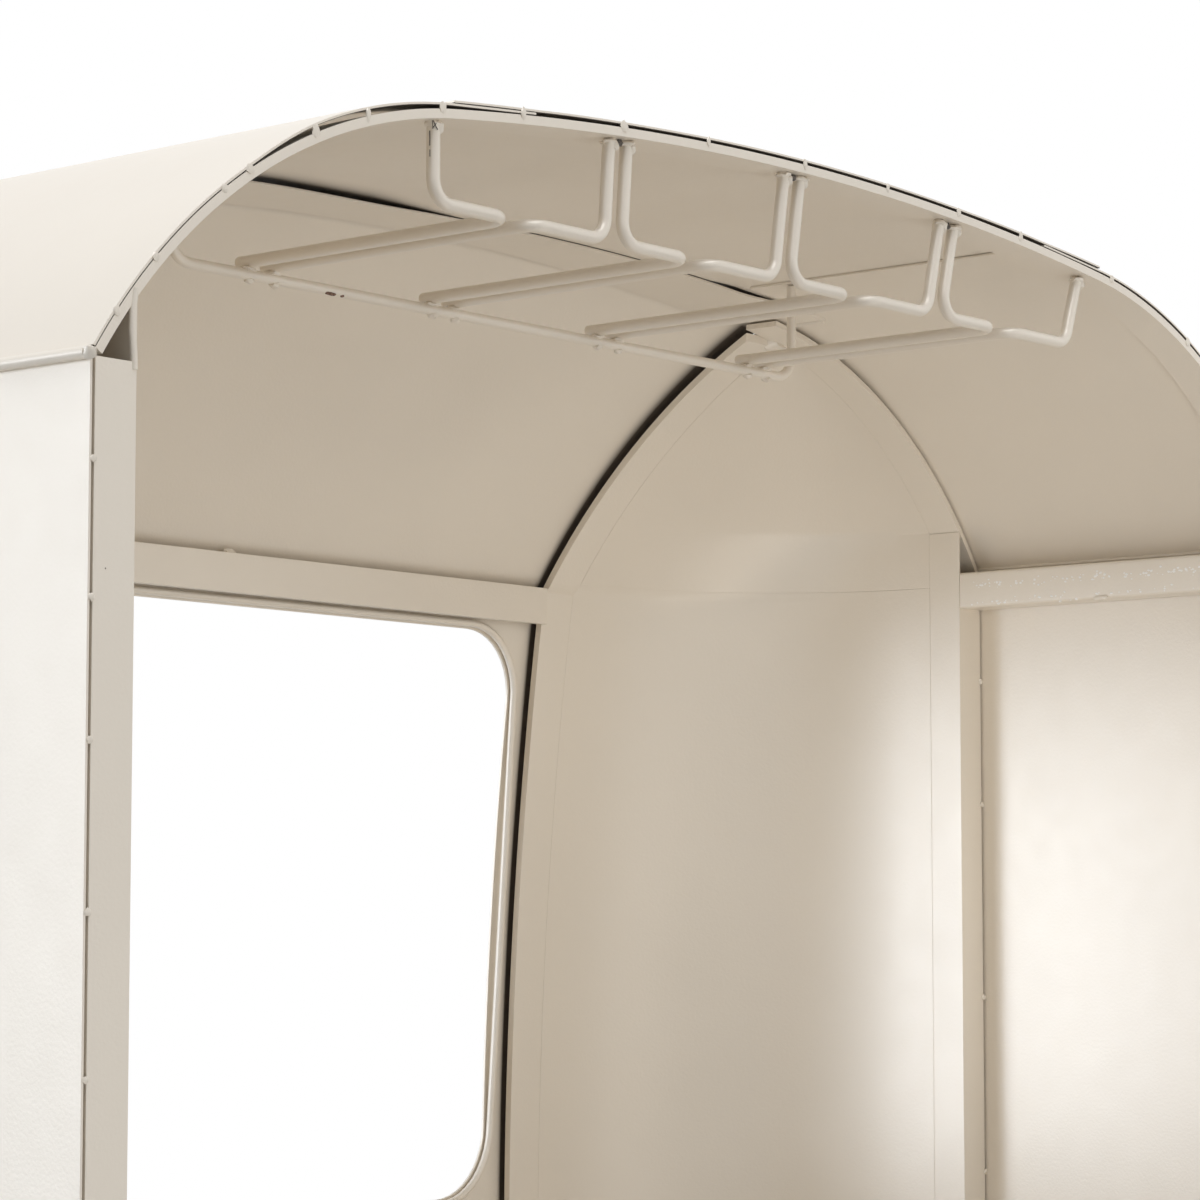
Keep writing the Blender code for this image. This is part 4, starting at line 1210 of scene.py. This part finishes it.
def build_stage():
    bpy.ops.mesh.primitive_plane_add(size=FLOOR_SIZE)
    floor = bpy.context.object
    floor.name = "floor"
    material, tree, shader = new_material("pale_floor")
    fill(tree, shader, {"Base Color": FLOOR_COLOUR, "Roughness": FLOOR_ROUGH})
    floor.data.materials.append(material)


def build_world():
    """Soft fill from the front and light from behind; camera, transmitted and glossy rays see white."""
    world = bpy.data.worlds.new("studio")
    bpy.context.scene.world = world
    world.use_nodes = True
    tree = world.node_tree
    tree.nodes.clear()
    coords = coords_of(tree, "Generated")
    front = ramp_node(tree, towards(tree, coords, FILL_FROM), 0.0, 1.0)
    behind = ramp_node(tree, place_node(tree, coords)["Y"], 0.0, BACKDROP_RISE)
    soft = between(tree, front, FILL_WEAK, FILL_STRONG)
    total = maths(tree, "ADD", soft, maths(tree, "MULTIPLY", behind, BACKDROP))
    lamp = add_node(tree, "ShaderNodeBackground", Color=FILL_COLOUR, Strength=total)
    white = add_node(tree, "ShaderNodeBackground", Color=(1.0, 1.0, 1.0, 1.0), Strength=1.0)
    path = tree.nodes.new("ShaderNodeLightPath")
    seen = maths(tree, "MAXIMUM", path.outputs["Is Camera Ray"], path.outputs["Is Transmission Ray"])
    seen = maths(tree, "MAXIMUM", seen, path.outputs["Is Glossy Ray"])
    mix = tree.nodes.new("ShaderNodeMixShader")
    tree.links.new(seen, mix.inputs[0])
    tree.links.new(lamp.outputs[0], mix.inputs[1])
    tree.links.new(white.outputs[0], mix.inputs[2])
    end = tree.nodes.new("ShaderNodeOutputWorld")
    tree.links.new(mix.outputs[0], end.inputs["Surface"])


def add_lamp(name, kind, power, colour, place, aim, mirrored):
    """A lamp out of the picture; one that isn't mirrored is out of reflections too."""
    data = bpy.data.lights.new(name, kind)
    data.energy = power
    data.color = colour
    lamp = linked(name, data)
    lamp.location = place
    lamp.rotation_euler = (Vector(aim) - Vector(place)).to_track_quat("-Z", "Y").to_euler()
    lamp.visible_camera = False
    lamp.visible_glossy = mirrored
    return data


def sun(name, power, colour, way, wide, mirrored=False):
    data = add_lamp(name, "SUN", power, colour, MIDDLE + way * SUN_AWAY, MIDDLE, mirrored)
    data.angle = radians(wide)


def softbox(name, power, colour, size, place, aim=MIDDLE, mirrored=False):
    data = add_lamp(name, "AREA", power, colour, place, aim, mirrored)
    data.size = size


def spot(name, power, colour, wide, soft, place, aim):
    data = add_lamp(name, "SPOT", power, colour, place, aim, False)
    data.spot_size = radians(wide)
    data.spot_blend = 1.0
    data.shadow_soft_size = soft


def build_lights():
    """A wide key from behind on the left, a softbox above, and lamps for front, wall and window."""
    sun("key", 0.90, (0.905, 0.99, 1.12), KEY_FROM, 36, mirrored=True)
    softbox("front_softbox", 14.0, WHITE, 1.0, (1.20, -2.9, 2.10))
    sun("front_fill", 0.36, WHITE, FRONT_FILL_FROM, 70)
    spot("wall_card", 5.8, WARM, 48, 0.2, (0.08, -0.58, 1.50), (0.53, -0.04, 1.69))
    spot("post_card", 7.0, WARM, 22, 0.1, (0.36, -1.0, 1.52), (0.525, 0.03, 1.46))
    softbox("low_reflector", 2.9, (1.0, 0.92, 0.82), 1.2, (0.2, -1.3, 0.55), (0.1, 0.15, 1.85),
            mirrored=True)
    spot("window_spot", 30.0, (0.84, 1.0, 1.28), 18, 0.15, (-1.06, 0.95, 1.50), (0.53, -0.10, 1.46))
    softbox("window_softbox", 0.70, (0.88, 1.0, 1.20), 0.4, at(-0.42, 0.74, 1.42), at(0.5, 0.33, 1.48))
    softbox("top_softbox", 46.0, (0.98, 1.0, 1.05), 2.4, (-0.9, -0.7, 4.2), mirrored=True)


def build_camera():
    data = bpy.data.cameras.new("camera")
    data.sensor_width = CAMERA_SENSOR
    data.lens = CAMERA_FOCAL * CAMERA_SENSOR
    data.clip_end = CAMERA_FAR
    camera = linked("camera", data)
    camera.location = CAMERA_PLACE
    camera.rotation_euler = CAMERA_LOOK.to_track_quat("-Z", "Y").to_euler()
    bpy.context.scene.camera = camera


build_tubes()
build_bars()
build_roof()
build_corners()
build_walls()
build_windscreen()
build_gutters()
build_seals()
build_tacks()
build_post_welds()
build_spatter()
build_rack()
build_lower_half()
build_stage()
build_world()
build_lights()
build_camera()
bpy.context.scene.view_settings.view_transform = "Standard"
